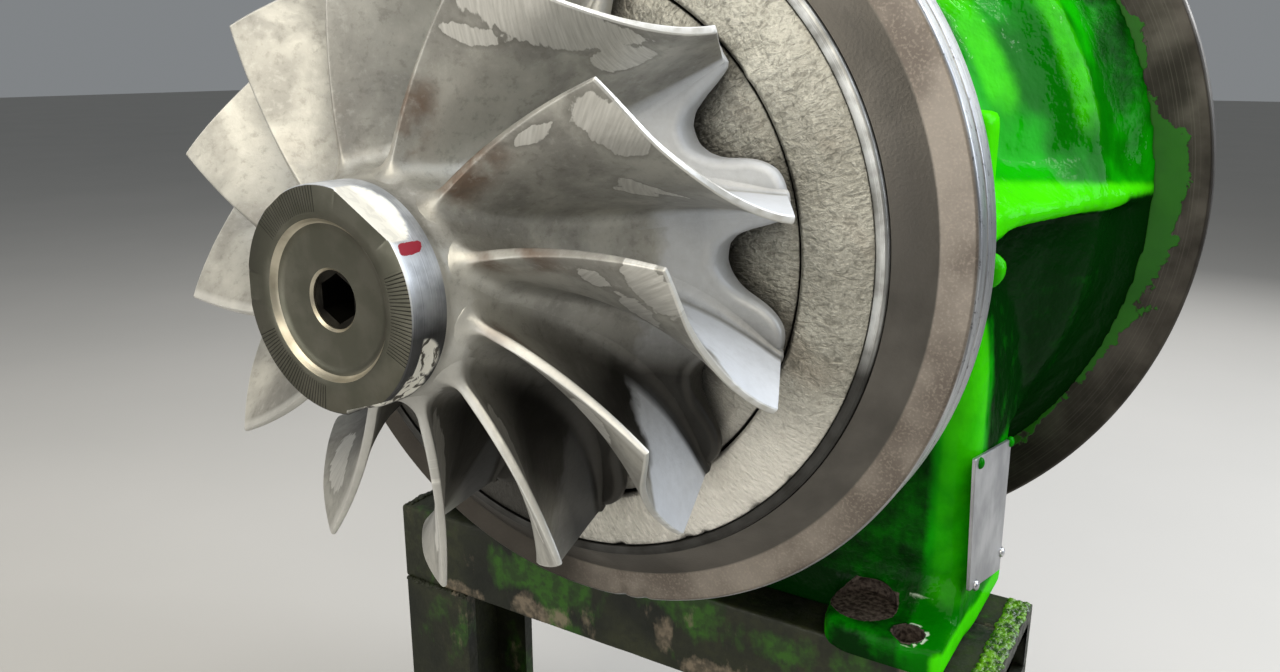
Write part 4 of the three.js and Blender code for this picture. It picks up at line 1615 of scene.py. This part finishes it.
    def build(self) -> None:
        """Makes and dresses the hub and the ring of blades."""
        cast = InvestmentCast()
        hub = self.hub().build("wheel_hub", crease=28)
        dress(hub, cast, Body.ROTOR, ["turbine_wheel"])
        self.face(hub)
        blades = self.blade().build("wheel_blades", crease=40)
        to_axis = Matrix.Translation((0, 0, -AXIS_Z))
        blades.data.transform(to_axis)
        first_angle = math.radians(self.first_blade)
        values = {"Count": self.blades, "First Angle": first_angle, "Metal": cast.material()}
        grown(blades, self.ring_tree(), values)
        blades.data.transform(to_axis.inverted())
        self.mark(blades.data)
        dress(blades, cast, Body.ROTOR)

    def mark(self, mesh: bpy.types.Mesh) -> None:
        """Stores on the blades where a grinder has been.

        Args:
            mesh: The ring of blades.
        """
        values = {}
        for name in ("number", "stream", "span"):
            values[name] = np.zeros(len(mesh.vertices), np.float32)
            mesh.attributes[name].data.foreach_get("value", values[name])
        ground = np.zeros(len(mesh.vertices), np.float32)
        for number, stream, span, wide, tall in self.patches:
            away = np.hypot((values["stream"] - stream) / wide, (values["span"] - span) / tall)
            here = np.abs(values["number"] - number) < 0.5
            ground = np.maximum(ground, np.clip(1.5 - away, 0, 1) * here)
        store(mesh, ground=ground)

    def face(self, hub: bpy.types.Object) -> None:
        """Gives the turned faces of the nose their own finishes.

        Args:
            hub: The hub, which has the cast metal already.
        """
        finishes = (
            TurnedNose(),
            TurnedSteel("bright_turned_lip", "cast_alloy", "#c2bba8", "#979180", 0.33),
            # the nose side's pale bluish tones are partly a painted reflection of a bluish side light
            TurnedSteel(
                "turned_nose_side",
                "cast_alloy",
                "#dfe2e5",
                "#a9acb0",
                0.46,
                mark=(58.6, 6.2, 7.0, 10.4),
                shade_below=12.0,
            ),
            # near-black inside the hex socket: oil, with painted shade in the recess
            TurnedSteel("oiled_and_shaded_hex_socket", "cast_alloy", "#26241f", "#12110f", 0.5),
        )
        front, lip, side, hollow = range(1, 1 + len(finishes))
        for finish in finishes:
            hub.data.materials.append(finish.material())
        for face in hub.data.polygons:
            station = (face.center.y - NOSE_Y) / MM
            radius = math.hypot(face.center.x, face.center.z - AXIS_Z) / MM
            if radius < self.socket_radius + 0.2 and station > 4.8:
                face.material_index = hollow
            elif station <= 16 and radius <= self.nose_radius + 0.5:
                around_it = lip if radius < 36 else side
                face.material_index = front if face.normal.y < -0.85 else around_it


@dataclass(frozen=True)
class Nick:
    """A dent in an edge, by its place and its size in millimetres."""

    clock: float
    radius: float
    station: float
    size: float
    depth: float


@dataclass
class TurnedPiece:
    """A ring or disc that is its profile turned about the rotor's axis."""

    name: str
    finish: Finish
    profile: tuple
    stands_for: tuple = ()
    body: Body = Body.CORE
    soften: float = 0.6
    columns: int = 256
    wobble: float = 0.0
    nicks: tuple = ()
    crease: float = 50.0
    longest: float = 6.0

    def build(self) -> bpy.types.Object:
        """Turns the profile, dents it and dresses it.

        Returns:
            The finished piece.
        """
        outline = refined(np.array(rounded(self.profile, self.soften)), self.longest)
        clock = np.linspace(0, 360, self.columns, endpoint=False)
        grid = around(outline[:, :1], outline[:, 1:], clock[None])
        seeded = np.random.default_rng(7)
        waves = sum(
            seeded.uniform(0.2, 1) / k * np.sin(np.radians(clock) * k + seeded.uniform(0, 6))
            for k in (3, 5, 8, 13, 21, 34)
        )
        grid[..., 1] += self.wobble * waves[None]
        for nick in self.nicks:
            centre = around(np.array(nick.radius), np.array(nick.station), np.array(nick.clock))
            away = np.linalg.norm(grid - centre, axis=-1)
            grid[..., 1] += nick.depth * np.exp(-((away / nick.size) ** 2) * 2)
        shell = Shell()
        shell.grid(grid, wrap=(True, True))
        return dress(shell.build(self.name, self.crease), self.finish, self.body, self.stands_for)


@dataclass
class TurbineSide:
    """Heat shield, nozzle ring, locating ring and flange round the wheel."""

    seat: float = 152.0

    def build(self) -> None:
        """Makes the four rings."""
        shield = ((33, 132.5), (70, 131.2), (110, 130.6), (116.4, 132.2), (116.4, 139), (33, 139))
        disc_iron = SandCast(name="sooted_shield_iron", sooty_within=70.0)
        TurnedPiece("shield_disc", disc_iron, shield, ("heat_shield",), wobble=0.15).build()
        ring = ((117.6, 130.4), (119, 129.2), (132, 131.4), (145, 136.6))
        ring += ((145, self.seat), (117.6, self.seat))
        dents = (
            Nick(137, 144.0, 136.2, 4.0, 2.2),
            Nick(153, 144.5, 136.2, 4.5, 2.0),
            Nick(149, 144.6, 136.4, 2.6, 1.6),
            Nick(128, 144.8, 136.4, 2.2, 1.4),
            Nick(168, 144.6, 136.4, 3.0, 1.7),
            Nick(52, 118.0, 129.6, 3.0, -1.6),
        )
        fine = {"columns": 512, "nicks": dents, "wobble": 0.2, "longest": 3}
        TurnedPiece("nozzle_ring_cast", SandCast(), ring, ("nozzle_back_ring",), **fine).build()
        step = ((145.3, 135.4), (149, 135.4), (150, 136.4), (150, self.seat), (145.3, self.seat))
        dull = TurnedSteel(
            "heat_darkened_step_shaded_below", light="#b4b4b0", dark="#7b7a75", roughness=0.36, shade_below=-20.0
        )
        TurnedPiece("step_ring", dull, step, ("locating_ring",), soften=0.4).build()
        flange = (
            (150.3, 138), (165, 150), (178.4, 150), (180, 151.6), (180, 160), (178.5, 160.6),
            (178.5, 162), (180, 162.6), (180, 175), (150.3, 175),
        )
        rim = (
            Nick(173, 179.5, 150, 3.4, 3.0),
            Nick(169, 179.6, 150, 3.0, 2.4),
            Nick(101, 179.8, 150, 1.6, 1.0),
            Nick(140, 179.8, 150, 1.8, 1.1),
        )
        fine = {"columns": 512, "nicks": rim, "soften": 0.5}
        TurnedPiece("flange_ring", FlangeIron(), flange, ("turbine_flange",), **fine).build()


@dataclass(frozen=True)
class Drilling:
    """A round hole or spot face that is cut straight down."""

    x: float
    station: float
    radius: float
    low: float
    high: float
    dome: float = 0.0

    def cutter(self) -> bpy.types.Object:
        """The solid that the hole takes away.

        Returns:
            The object, for a boolean.
        """
        turn = np.linspace(0, math.tau, 48, endpoint=False)
        shell = Shell()
        levels = [(self.radius, self.low), (self.radius, self.high - self.dome)]
        levels += [
            (self.radius * math.cos(t), self.high - self.dome + self.dome * math.sin(t))
            for t in ((0.4, 0.75, 1.05, 1.3, 1.5) if self.dome else ())
        ]
        shell.loft([
            [(self.x + r * math.cos(a), self.station + r * math.sin(a), z) for a in turn] for r, z in levels
        ])
        return shell.build("cutter")


@dataclass
class BearingHousing:
    """Bell body, pedestal, foot lugs and ribs in one painted casting."""

    voxel: float = 3.0
    front: float = 235.0
    back: float = 314.0
    corner: float = 18.0
    foot: float = -204.7
    lug_top: float = -187.0
    walls: tuple = (
        (-204.7, 170.1), (-150, 167.9), (-105, 166.2), (-65, 165.5), (-48, 163.8), (-34, 160.5),
        (-20, 156.5), (-6, 154), (4, 153.5),
    )
    rib_root: tuple = (
        (190, 152, 30), (235, 150, 30), (285, 155, 30), (308, 168, 30), (328, 184, 30), (342, 193, 29),
        (366, 197, 27), (381, 204, 24), (394.6, 211, 19),
    )
    drillings: tuple = (
        Drilling(122.0, 222.0, 16.5, -188.6, -174.0, dome=12.0),
        Drilling(149.5, 206.5, 7.6, -198.5, -180.0),
        Drilling(-140.0, 236.0, 8.4, -198.5, -180.0),
    )

    def bell(self, shell: Shell) -> None:
        """Adds the turned body.

        Args:
            shell: What gets the form.
        """
        profile = (
            (32, 139.4), (115, 139.4), (115, 152.4), (150, 152.4), (150, 175.4), (171, 175.4), (172, 181),
            (160, 187), (151, 196), (150, 220), (150, 250), (152, 268), (157, 285), (168, 303), (172, 310),
            (176, 318), (186, 330), (194, 341), (196, 350), (197, 360), (202, 374), (211, 388), (215, 394.6),
            (48, 394.6), (48, 350), (30.5, 350), (30.5, 182), (32, 181),
        )
        outline = np.array(profile, float)
        clock = np.linspace(0, 360, 160, endpoint=False)
        shell.grid(around(outline[:, :1], outline[:, 1:], clock[None]), wrap=(True, True))

    def pedestal(self, shell: Shell) -> None:
        """Adds the column under the body, with walls that lean in towards the ribs, and its side webs.

        Args:
            shell: What gets the form.
        """
        c = self.corner
        bend = [(c * (1 - math.cos(a)), c * (1 - math.sin(a))) for a in np.linspace(0, math.pi / 2, 8)]
        rings = []
        for z, w in self.walls:
            right = [(w - x, self.front + y, z) for x, y in bend]
            left = [(-x, y, z) for x, y, _ in right[::-1]]
            rings.append([(w, self.back, z), *right, *left, (-w, self.back, z)])
        shell.loft(rings)
        levels = [(z, w) for z, w in self.walls if z > -106]
        for side in (1, -1):
            web = [[(130, 300, -118), (166, 300, -118), (166, 352, -109), (130, 352, -109)]]
            web += [[(130, 300, z), (w, 300, z), (w, 352, z), (130, 352, z)] for z, w in levels]
            shell.loft([[(x * side, y, z) for x, y, z in ring] for ring in web])

    def lugs(self, shell: Shell) -> None:
        """Adds the foot lugs; the left one is shallower and stands further back.

        Args:
            shell: What gets the form.
        """
        low, high = self.foot, self.lug_top
        for sign, outer, inner, front, nose in ((1, 168, 105, 197, 10), (-1, 163, 105, 221, 8)):
            plan = [(outer, 262), (outer, front), (inner + 16, front), (inner + 7, front + 3)]
            plan += [(inner + 1, front + nose), (inner, front + nose + 8), (inner, 262)]
            shell.loft([[(x * sign, y, z) for x, y in plan] for z in (low, high)])
        wedge = [(222, -190), (242, -190), (242, -172), (235, -172)]
        shell.loft([[(x, y, z) for y, z in wedge] for x in (126, 167)])

    def rib_edge(self, station: float) -> float:
        """How far out the side ribs reach at a station."""
        return 168 + 48 * max(0.0, (station - 236) / 158.6)

    def ribs(self, shell: Shell) -> None:
        """Adds the rib along each side, its gusset up to the body, and the clamp lug at its front end.

        Args:
            shell: What gets the form.
        """
        for side in (1, -1):
            plates, gussets = [], []
            for station in (183, 196, 208, 218, 226, 233, 240, 252, 270, 310, 350, 394.6):
                edge = self.rib_edge(station)
                droop = 7.5 * math.exp(-(((station - 231) / 13) ** 2))
                low = 4.5 - droop
                ring = [(120, low), (edge - 1.5, low), (edge, low + 2)]
                ring += [(edge, 12), (edge - 1.5, 13.8), (120, 13.8)]
                plates.append([(x * side, station, z) for x, z in ring])
            for station, root, height in self.rib_root:
                edge = self.rib_edge(station)
                ring = [(100, 8), (edge - 3, 8), (edge - 3, 13), (root + 1, height), (100, height)]
                gussets.append([(x * side, station, z) for x, z in ring])
            shell.loft(plates)
            shell.loft(gussets)
            block = [(140, 8), (173.5, 8), (173.5, 60), (140, 60)]
            shell.loft([[(x * side, station, z) for x, z in block] for station in (176, 197)])
        tongue = [(150, -12), (178, -12), (181.5, -4), (181, 1.5), (150, 9)]
        shell.loft([[(x, station, z) for x, z in tongue] for station in (186.5, 197)])

    def build(self) -> None:
        """Melts the forms into one casting with soft fillets, drills it and dresses it."""
        shell = Shell()
        for add_form in (self.bell, self.pedestal, self.lugs, self.ribs):
            add_form(shell)
        turn = np.linspace(0, math.tau, 40, endpoint=False)
        inlet = ((30, 120), (30, 172), (27.5, 174), (26.5, 175))
        shell.loft([[(r * math.cos(a), 245 + r * math.sin(a), z) for a in turn] for r, z in inlet])
        casting = shell.build("housing_casting", weld=0.001)
        fuse = casting.modifiers.new("fuse", "REMESH")
        fuse.mode = "VOXEL"
        fuse.voxel_size = self.voxel * MM
        fuse.adaptivity = 0.0
        ease = casting.modifiers.new("ease", "SMOOTH")
        ease.factor = 0.5
        ease.iterations = 8
        cutters = [hole.cutter() for hole in self.drillings]
        for cutter in cutters:
            drill = casting.modifiers.new("drill", "BOOLEAN")
            drill.operation = "DIFFERENCE"
            drill.solver = "EXACT"
            drill.object = cutter
        applied(casting)
        for cutter in cutters:
            bpy.data.objects.remove(cutter)
        casting.data.shade_smooth()
        casting.data.set_sharp_from_angle(angle=math.radians(50))
        self.mark(casting.data)
        dress(casting, Enamel(), Body.CORE, ["bearing_housing"])

    def mark(self, mesh: bpy.types.Mesh) -> None:
        """Stores on the mesh where the paint is off, where oil and painted shade darken it, where painted
        light brightens it, and its chipped rims and painted highlights.

        Args:
            mesh: The casting's mesh.
        """
        x, y, z = places_of(mesh)
        side, radius = np.abs(x), np.hypot(x, z)
        spot = smoothstep(18, 16, np.hypot(x - 122, y - 222))
        on_lug = smoothstep(-190, -188.8, z) * smoothstep(-178, -182, z)
        bolt = np.hypot(x - 149.5, y - 206.5)
        inside = smoothstep(8.4, 7.4, bolt) * (z > -200) * (z < -170) * (y > 198.5)
        shoulder = smoothstep(154, 150, y) * smoothstep(152, 148, radius)
        bare = np.maximum.reduce([spot * on_lug, inside, shoulder])
        # the chipped rim of the bolt hole, and a painted highlight on the slope between the wall and the
        # lug's top
        rim = smoothstep(12, 9, bolt) * (1 - inside) * smoothstep(-191, -188, z) * (z < -170) * (x > 146)
        slope = smoothstep(226, 230, y) * smoothstep(238, 236, y) * smoothstep(-190, -187, z)
        slope *= smoothstep(-176, -180, z) * smoothstep(138, 142, x) * smoothstep(160, 156, x)
        shine = np.maximum(rim, slope * 0.8)
        # oil and painted shade: under the rib, behind and in front of the pedestal, on its flanks, by the
        # lug, in the bolt hole and on the left side
        hollow = smoothstep(236, 262, y) * smoothstep(6, 2, z) * smoothstep(-75, -20, z)
        behind = smoothstep(352, 366, y) * smoothstep(14, 4, z)
        flank = smoothstep(255, 268, y) * smoothstep(-116, -108, z) * smoothstep(6, 2, z) * 0.8
        front = smoothstep(262, 252, y) * smoothstep(152, 144, x) * smoothstep(20, 60, -z)
        lug_face = smoothstep(206, 200, y) * smoothstep(-186, -190, z) * smoothstep(166, 128, x)
        by_lug = smoothstep(118, 104, x) * smoothstep(212, 222, y) * smoothstep(-176, -184, z)
        rear = smoothstep(350, 376, y) * smoothstep(30, 70, z) * 0.5
        left = smoothstep(0, 60, -x) * 0.3
        grime = [hollow * 0.95, behind, front * 0.62, by_lug, lug_face * 0.75, rear, flank, inside, left]
        grime = np.clip(np.maximum.reduce(grime), 0, 1)
        # painted light: the lit tops, edges, corners and bands of the casting
        tab = smoothstep(150, 160, side) * smoothstep(6, 12, z) * smoothstep(202, 196, y) * 0.8
        tongue = smoothstep(168, 174, x) * smoothstep(203, 198, y) * smoothstep(5, 2, z) * 0.45
        sill = smoothstep(-186, -192, z) * smoothstep(160, 166, side)
        lug_end = smoothstep(112, 106, x) * smoothstep(96, 100, x) * smoothstep(-184, -192, z) * 0.8
        top = 30 - 0.085 * (y - 200)
        rib = smoothstep(150, 156, side) * smoothstep(0, 4, z) * smoothstep(3, -3, z - top) * 0.7
        ridge = smoothstep(147, 153, x) * smoothstep(258, 250, y) * smoothstep(-186, -178, z)
        ridge *= smoothstep(0, -20, z) * (0.3 + 0.25 * smoothstep(-130, -90, z))
        near = smoothstep(280, 290, y) * smoothstep(310, 298, y) * smoothstep(45, 65, z) * 0.55
        crest = smoothstep(326, 335, y) * smoothstep(350, 342, y) * smoothstep(25, 60, z) * 0.45
        lit = np.clip(np.maximum.reduce([tab, tongue, sill, lug_end, rib, ridge, near, crest]), 0, 1)
        store(mesh, bare=bare, grime=grime, lit=lit, shine=shine)


@dataclass
class CompressorSide:
    """Rear flange, seal plate, rotor shaft and sleeve."""

    def build(self) -> None:
        """Makes the turned pieces at the back."""
        flange = ((120.3, 395), (240.5, 395), (242, 396.5), (242, 411), (170, 411), (168, 407), (120.3, 407))
        TurnedPiece("rear_disc", BareFlange(), flange, ("rear_flange",), soften=0.5, columns=360).build()
        plate = ((30.7, 395), (120, 395), (120, 404), (60, 405), (52, 410), (30.7, 410))
        TurnedPiece("seal_cover", TurnedSteel(), plate, ("seal_plate",), columns=192).build()
        sleeve = ((22.3, 396), (30, 396), (30, 416), (28, 418), (22.3, 418))
        TurnedPiece("oil_sleeve", TurnedSteel(), sleeve, ("seal_sleeve",), Body.ROTOR, columns=96).build()
        shaft = (
            (0.01, 137.3), (26, 137.3), (26, 168), (22, 170), (22, 420), (17, 421), (17, 440),
            (12, 441), (12, 468.5), (10.5, 470), (0.01, 470),
        )
        TurnedPiece("shaft_turned", TurnedSteel(), shaft, ("rotor_shaft",), Body.ROTOR, columns=96).build()


@dataclass
class Nameplate:
    """Blank plate on the pedestal's side, held by a rivet near each corner."""

    corners: tuple = (
        (166.1, 229.0, -101.2), (166.7, 307.8, -117.0), (169.5, 297.1, -188.9), (168.7, 230.0, -169.8),
    )
    rivets: tuple = (
        (166.4, 237.5, -106.0), (166.7, 305.0, -117.6), (169.2, 297.4, -178.4), (168.8, 241.0, -171.6),
    )
    lift: float = 0.6
    thickness: float = 1.6
    rivets_look: Domes = Domes(2.9, 24, 14, (0.7, 1.0, 1.0), (0.7, 1.0, 1.0))

    def build(self) -> None:
        """Makes the plate and its rivets."""
        spots = np.array(self.rivets, float)
        flat = np.array(rounded(self.corners, 1.2))
        middle = flat.mean(0)
        rings = []
        for out, grow in ((0.0, 1.0), (self.thickness - 0.3, 1.0), (self.thickness, 0.992)):
            ring = middle + (flat - middle) * grow
            ring[:, 0] += self.lift + out
            rings.append(ring)
        shell = Shell()
        shell.loft(rings)
        dress(shell.build("plate_blank", 30), PlateAluminium(), Body.CORE, ["nameplate"])
        heads = spots + np.array([self.lift + self.thickness, 0, 0])
        self.rivets_look.build("upper_rivets", heads[:2], Enamel("rivet_enamel"))
        self.rivets_look.build("lower_rivets", heads[2:], TurnedSteel("rivet_steel"))


@dataclass
class Stand:
    """Two cross beams of angle iron, their welds, and the legs."""

    half_width: float = 190.0
    front: float = 212.0
    split: float = 265.0
    back: float = 300.0
    top: float = -205.0
    front_drop: float = 52.0
    rear_drop: float = 35.0
    wall: float = 8.0
    bead_radius: float = 1.7
    moss: tuple = ((-82, -227, 34, 15), (-63, -240, 6, 18), (60, -222, 60, 12), (20, -213, 50, 10))
    worn: tuple = (
        (-72, -250, 36, 7), (-48, -243, 12, 8), (10, -238, 6, 14), (-140, -253, 40, 4), (40, -250, 30, 6),
    )

    def beam(self, name: str, profile: Sequence[tuple], stands_for: str) -> None:
        """One beam: its section carried across the stand, a little bent and dented.

        Args:
            name: The piece's name.
            profile: The section's corners as (station, z).
            stands_for: The frame's node that it is shown for.
        """
        section = refined(np.array(rounded(profile, 2.2, steps=4)), 4.0)
        w = self.half_width
        end = np.array([0.0, 0.3, 1.2])
        across = np.concatenate([end - w, np.linspace(-w + 4, w - 4, 96), w - end[::-1]])
        seeded = np.random.default_rng(11)
        draws = ((-w, w), (4, 16), (-0.5, 0.3))
        bumps = [[seeded.uniform(*draw) for draw in draws] for _ in range(26)]
        middle = section.mean(0)
        rings = []
        for x in across:
            pull = sum(depth * math.exp(-(((x - at) / size) ** 2)) for at, size, depth in bumps)
            inset = 1 - 0.012 * (abs(x) > w - 0.1) + 0.012 * pull
            ring = middle + (section - middle) * np.array([1.0, min(inset, 1.0)])
            rings.append([(x, y, z) for y, z in ring])
        shell = Shell()
        shell.loft(rings)
        made = shell.build(name, 40)
        x, _, z = places_of(made.data)
        for mark, table in (("moss", self.moss), ("worn", self.worn)):
            away = [np.hypot((x - at) / wide, (z - up) / tall) for at, up, wide, tall in table]
            store(made.data, **{mark: np.clip(1.5 - np.min(away, axis=0), 0, 1)})
        dress(made, WornPaint(), Body.CORE, [stands_for])

    def weld(self, name: str, runs: Sequence[tuple], radius: float, finish: Finish) -> None:
        """Lays runs of weld.

        Args:
            name: The piece's name.
            runs: The two ends of each run, and its width.
            radius: The ripples' radius.
            finish: What covers them.
        """
        seeded = np.random.default_rng(3)
        spots = []
        for start, end, width in runs:
            start, end = np.array(start, float), np.array(end, float)
            count = int(np.linalg.norm(end - start) * max(width / radius, 1.0) / (radius * 0.6))
            for k in range(count + 1):
                aside = np.array([seeded.uniform(-width, width) / 2, 0, seeded.uniform(-0.3, 0.1) * radius])
                spots.append(start + (end - start) * k / count + aside)
        ripples = Domes(radius, 8, 6, (0.7, 0.9, 0.4), (1.5, 1.9, 0.9), tilt=0.4)
        ripples.build(name, np.array(spots), finish)

    def build(self) -> None:
        """Makes the beams and welds, and paints the legs."""
        f, s, b, t, k = self.front, self.split, self.back, self.top, self.wall
        low = t - self.front_drop
        angle = [(f, t), (f, low), (f + k, low), (f + k, t - k), (s, t - k), (s, t)]
        self.beam("front_angle", angle, "front_beam")
        low = t - self.rear_drop
        s += 0.3
        angle = [(b, t), (s, t), (s, t - k), (b - k, t - k), (b - k, low), (b, low)]
        self.beam("rear_angle", angle, "rear_beam")
        w, r = self.half_width, self.bead_radius
        paint = WornPaint()
        self.weld("right_end_weld", [((w - 6, f + 3, t), (w - 6, b - 3, t), 9.0)], r, WeldBead())
        self.weld("left_end_weld", [((3 - w, f + 3, t), (3 - w, b - 3, t), 2.0)], r, paint)
        seams = []
        for station, drop, leg in ((f, self.front_drop, 51), (b, self.rear_drop, 34)):
            down = t - drop - 0.2
            for side in (1, -1):
                seams.append((((w - 2) * side, station, down), ((w - leg) * side, station, down), 0.5))
        self.weld("seam_welds", seams, r, paint)
        for leg in ("front_leg_left", "front_leg_right", "rear_leg_left", "rear_leg_right"):
            coat(leg, paint)


@dataclass
class Studio:
    """Floor, lights and the camera."""

    floor_reach: float = 14.0
    lens: float = 28.36
    eye: tuple = (0.2651, -0.4618, 0.5099)
    forward: tuple = (-0.5062, 0.8203, -0.2664)

    def camera(self) -> None:
        """Sets up the camera."""
        data = bpy.data.cameras.new("camera")
        data.sensor_width = 36.0
        data.lens = self.lens
        data.clip_start = 0.01
        data.clip_end = 60
        made = linked("camera", data)
        made.location = self.eye
        ahead = Vector(self.forward).normalized()
        made.rotation_euler = ahead.to_track_quat("-Z", "Y").to_euler()
        bpy.context.scene.camera = made

    def light(
        self,
        name: str,
        at: tuple,
        aim: tuple,
        size: tuple,
        power: float,
        colour: str = "#ffffff",
    ) -> None:
        """Adds one soft box.

        Args:
            name: The light's name.
            at: Where it hangs, in metres.
            aim: What it points at.
            size: Its width and height in metres.
            power: Watts.
            colour: Its colour.
        """
        data = bpy.data.lights.new(name, "AREA")
        data.shape = "RECTANGLE"
        data.size, data.size_y = size
        data.energy = power
        data.color = linear(colour)[:3]
        made = linked(name, data)
        made.location = at
        made.rotation_euler = (Vector(aim) - Vector(at)).to_track_quat("-Z", "Y").to_euler()
        made.visible_camera = False

    def build(self) -> None:
        """Sets up the studio."""
        self.camera()
        mesh = bpy.data.meshes.new("floor")
        r = self.floor_reach
        mesh.from_pydata([(-r, -r, 0), (r, -r, 0), (r, r, 0), (-r, r, 0)], [], [(0, 1, 2, 3)])
        floor = linked("floor", mesh)
        floor.data.materials.append(Floor().material())
        centre = (0.0, -0.1, 0.43)
        self.light("key", (0.35, -1.35, 1.5), centre, (2.0, 1.2), 26, "#fff8ea")
        self.light("top", (0.0, 0.2, 1.75), centre, (2.0, 1.4), 19)
        self.light("left", (-1.3, -0.6, 0.9), centre, (0.8, 0.9), 2.5, "#fff6e6")
        self.light("side", (1.3, 0.7, 1.15), (0.05, -0.1, 0.43), (1.1, 1.3), 26, "#e6effc")
        self.light("low", (-0.45, -2.1, 0.5), (0.0, 0.1, 0.42), (1.9, 0.8), 17.0)
        self.light("back", (0.3, 1.9, 1.2), centre, (1.6, 1.0), 16)
        self.light("strip", (0.9, 0.6, 1.7), centre, (0.05, 1.0), 5)
        world = bpy.data.worlds.new("studio")
        world.use_nodes = True
        sky = world.node_tree.nodes["Background"].inputs
        sky["Color"].default_value = linear("#cfd4d8")
        sky["Strength"].default_value = 0.35
        bpy.context.scene.world = world
        bpy.context.scene.view_settings.view_transform = "Standard"


def coat(name: str, finish: Finish) -> None:
    """Gives one of the frame's own solids that stay in view its finish.

    Args:
        name: The node's name.
        finish: What its surface is.
    """
    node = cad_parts[name]
    node.data.materials.clear()
    node.data.materials.append(finish.material())


def main() -> None:
    """Builds every sub-assembly."""
    logging.basicConfig(level=logging.INFO, format="%(message)s")
    Studio().build()
    TurbineWheel().build()
    TurbineSide().build()
    BearingHousing().build()
    CompressorSide().build()
    Nameplate().build()
    Stand().build()
    coat("journal_bearing_front", Bronze())
    coat("journal_bearing_rear", Bronze())
    coat("oil_inlet_plug", TurnedSteel("plug_steel", roughness=0.34))


if __name__ == "__main__":
    main()
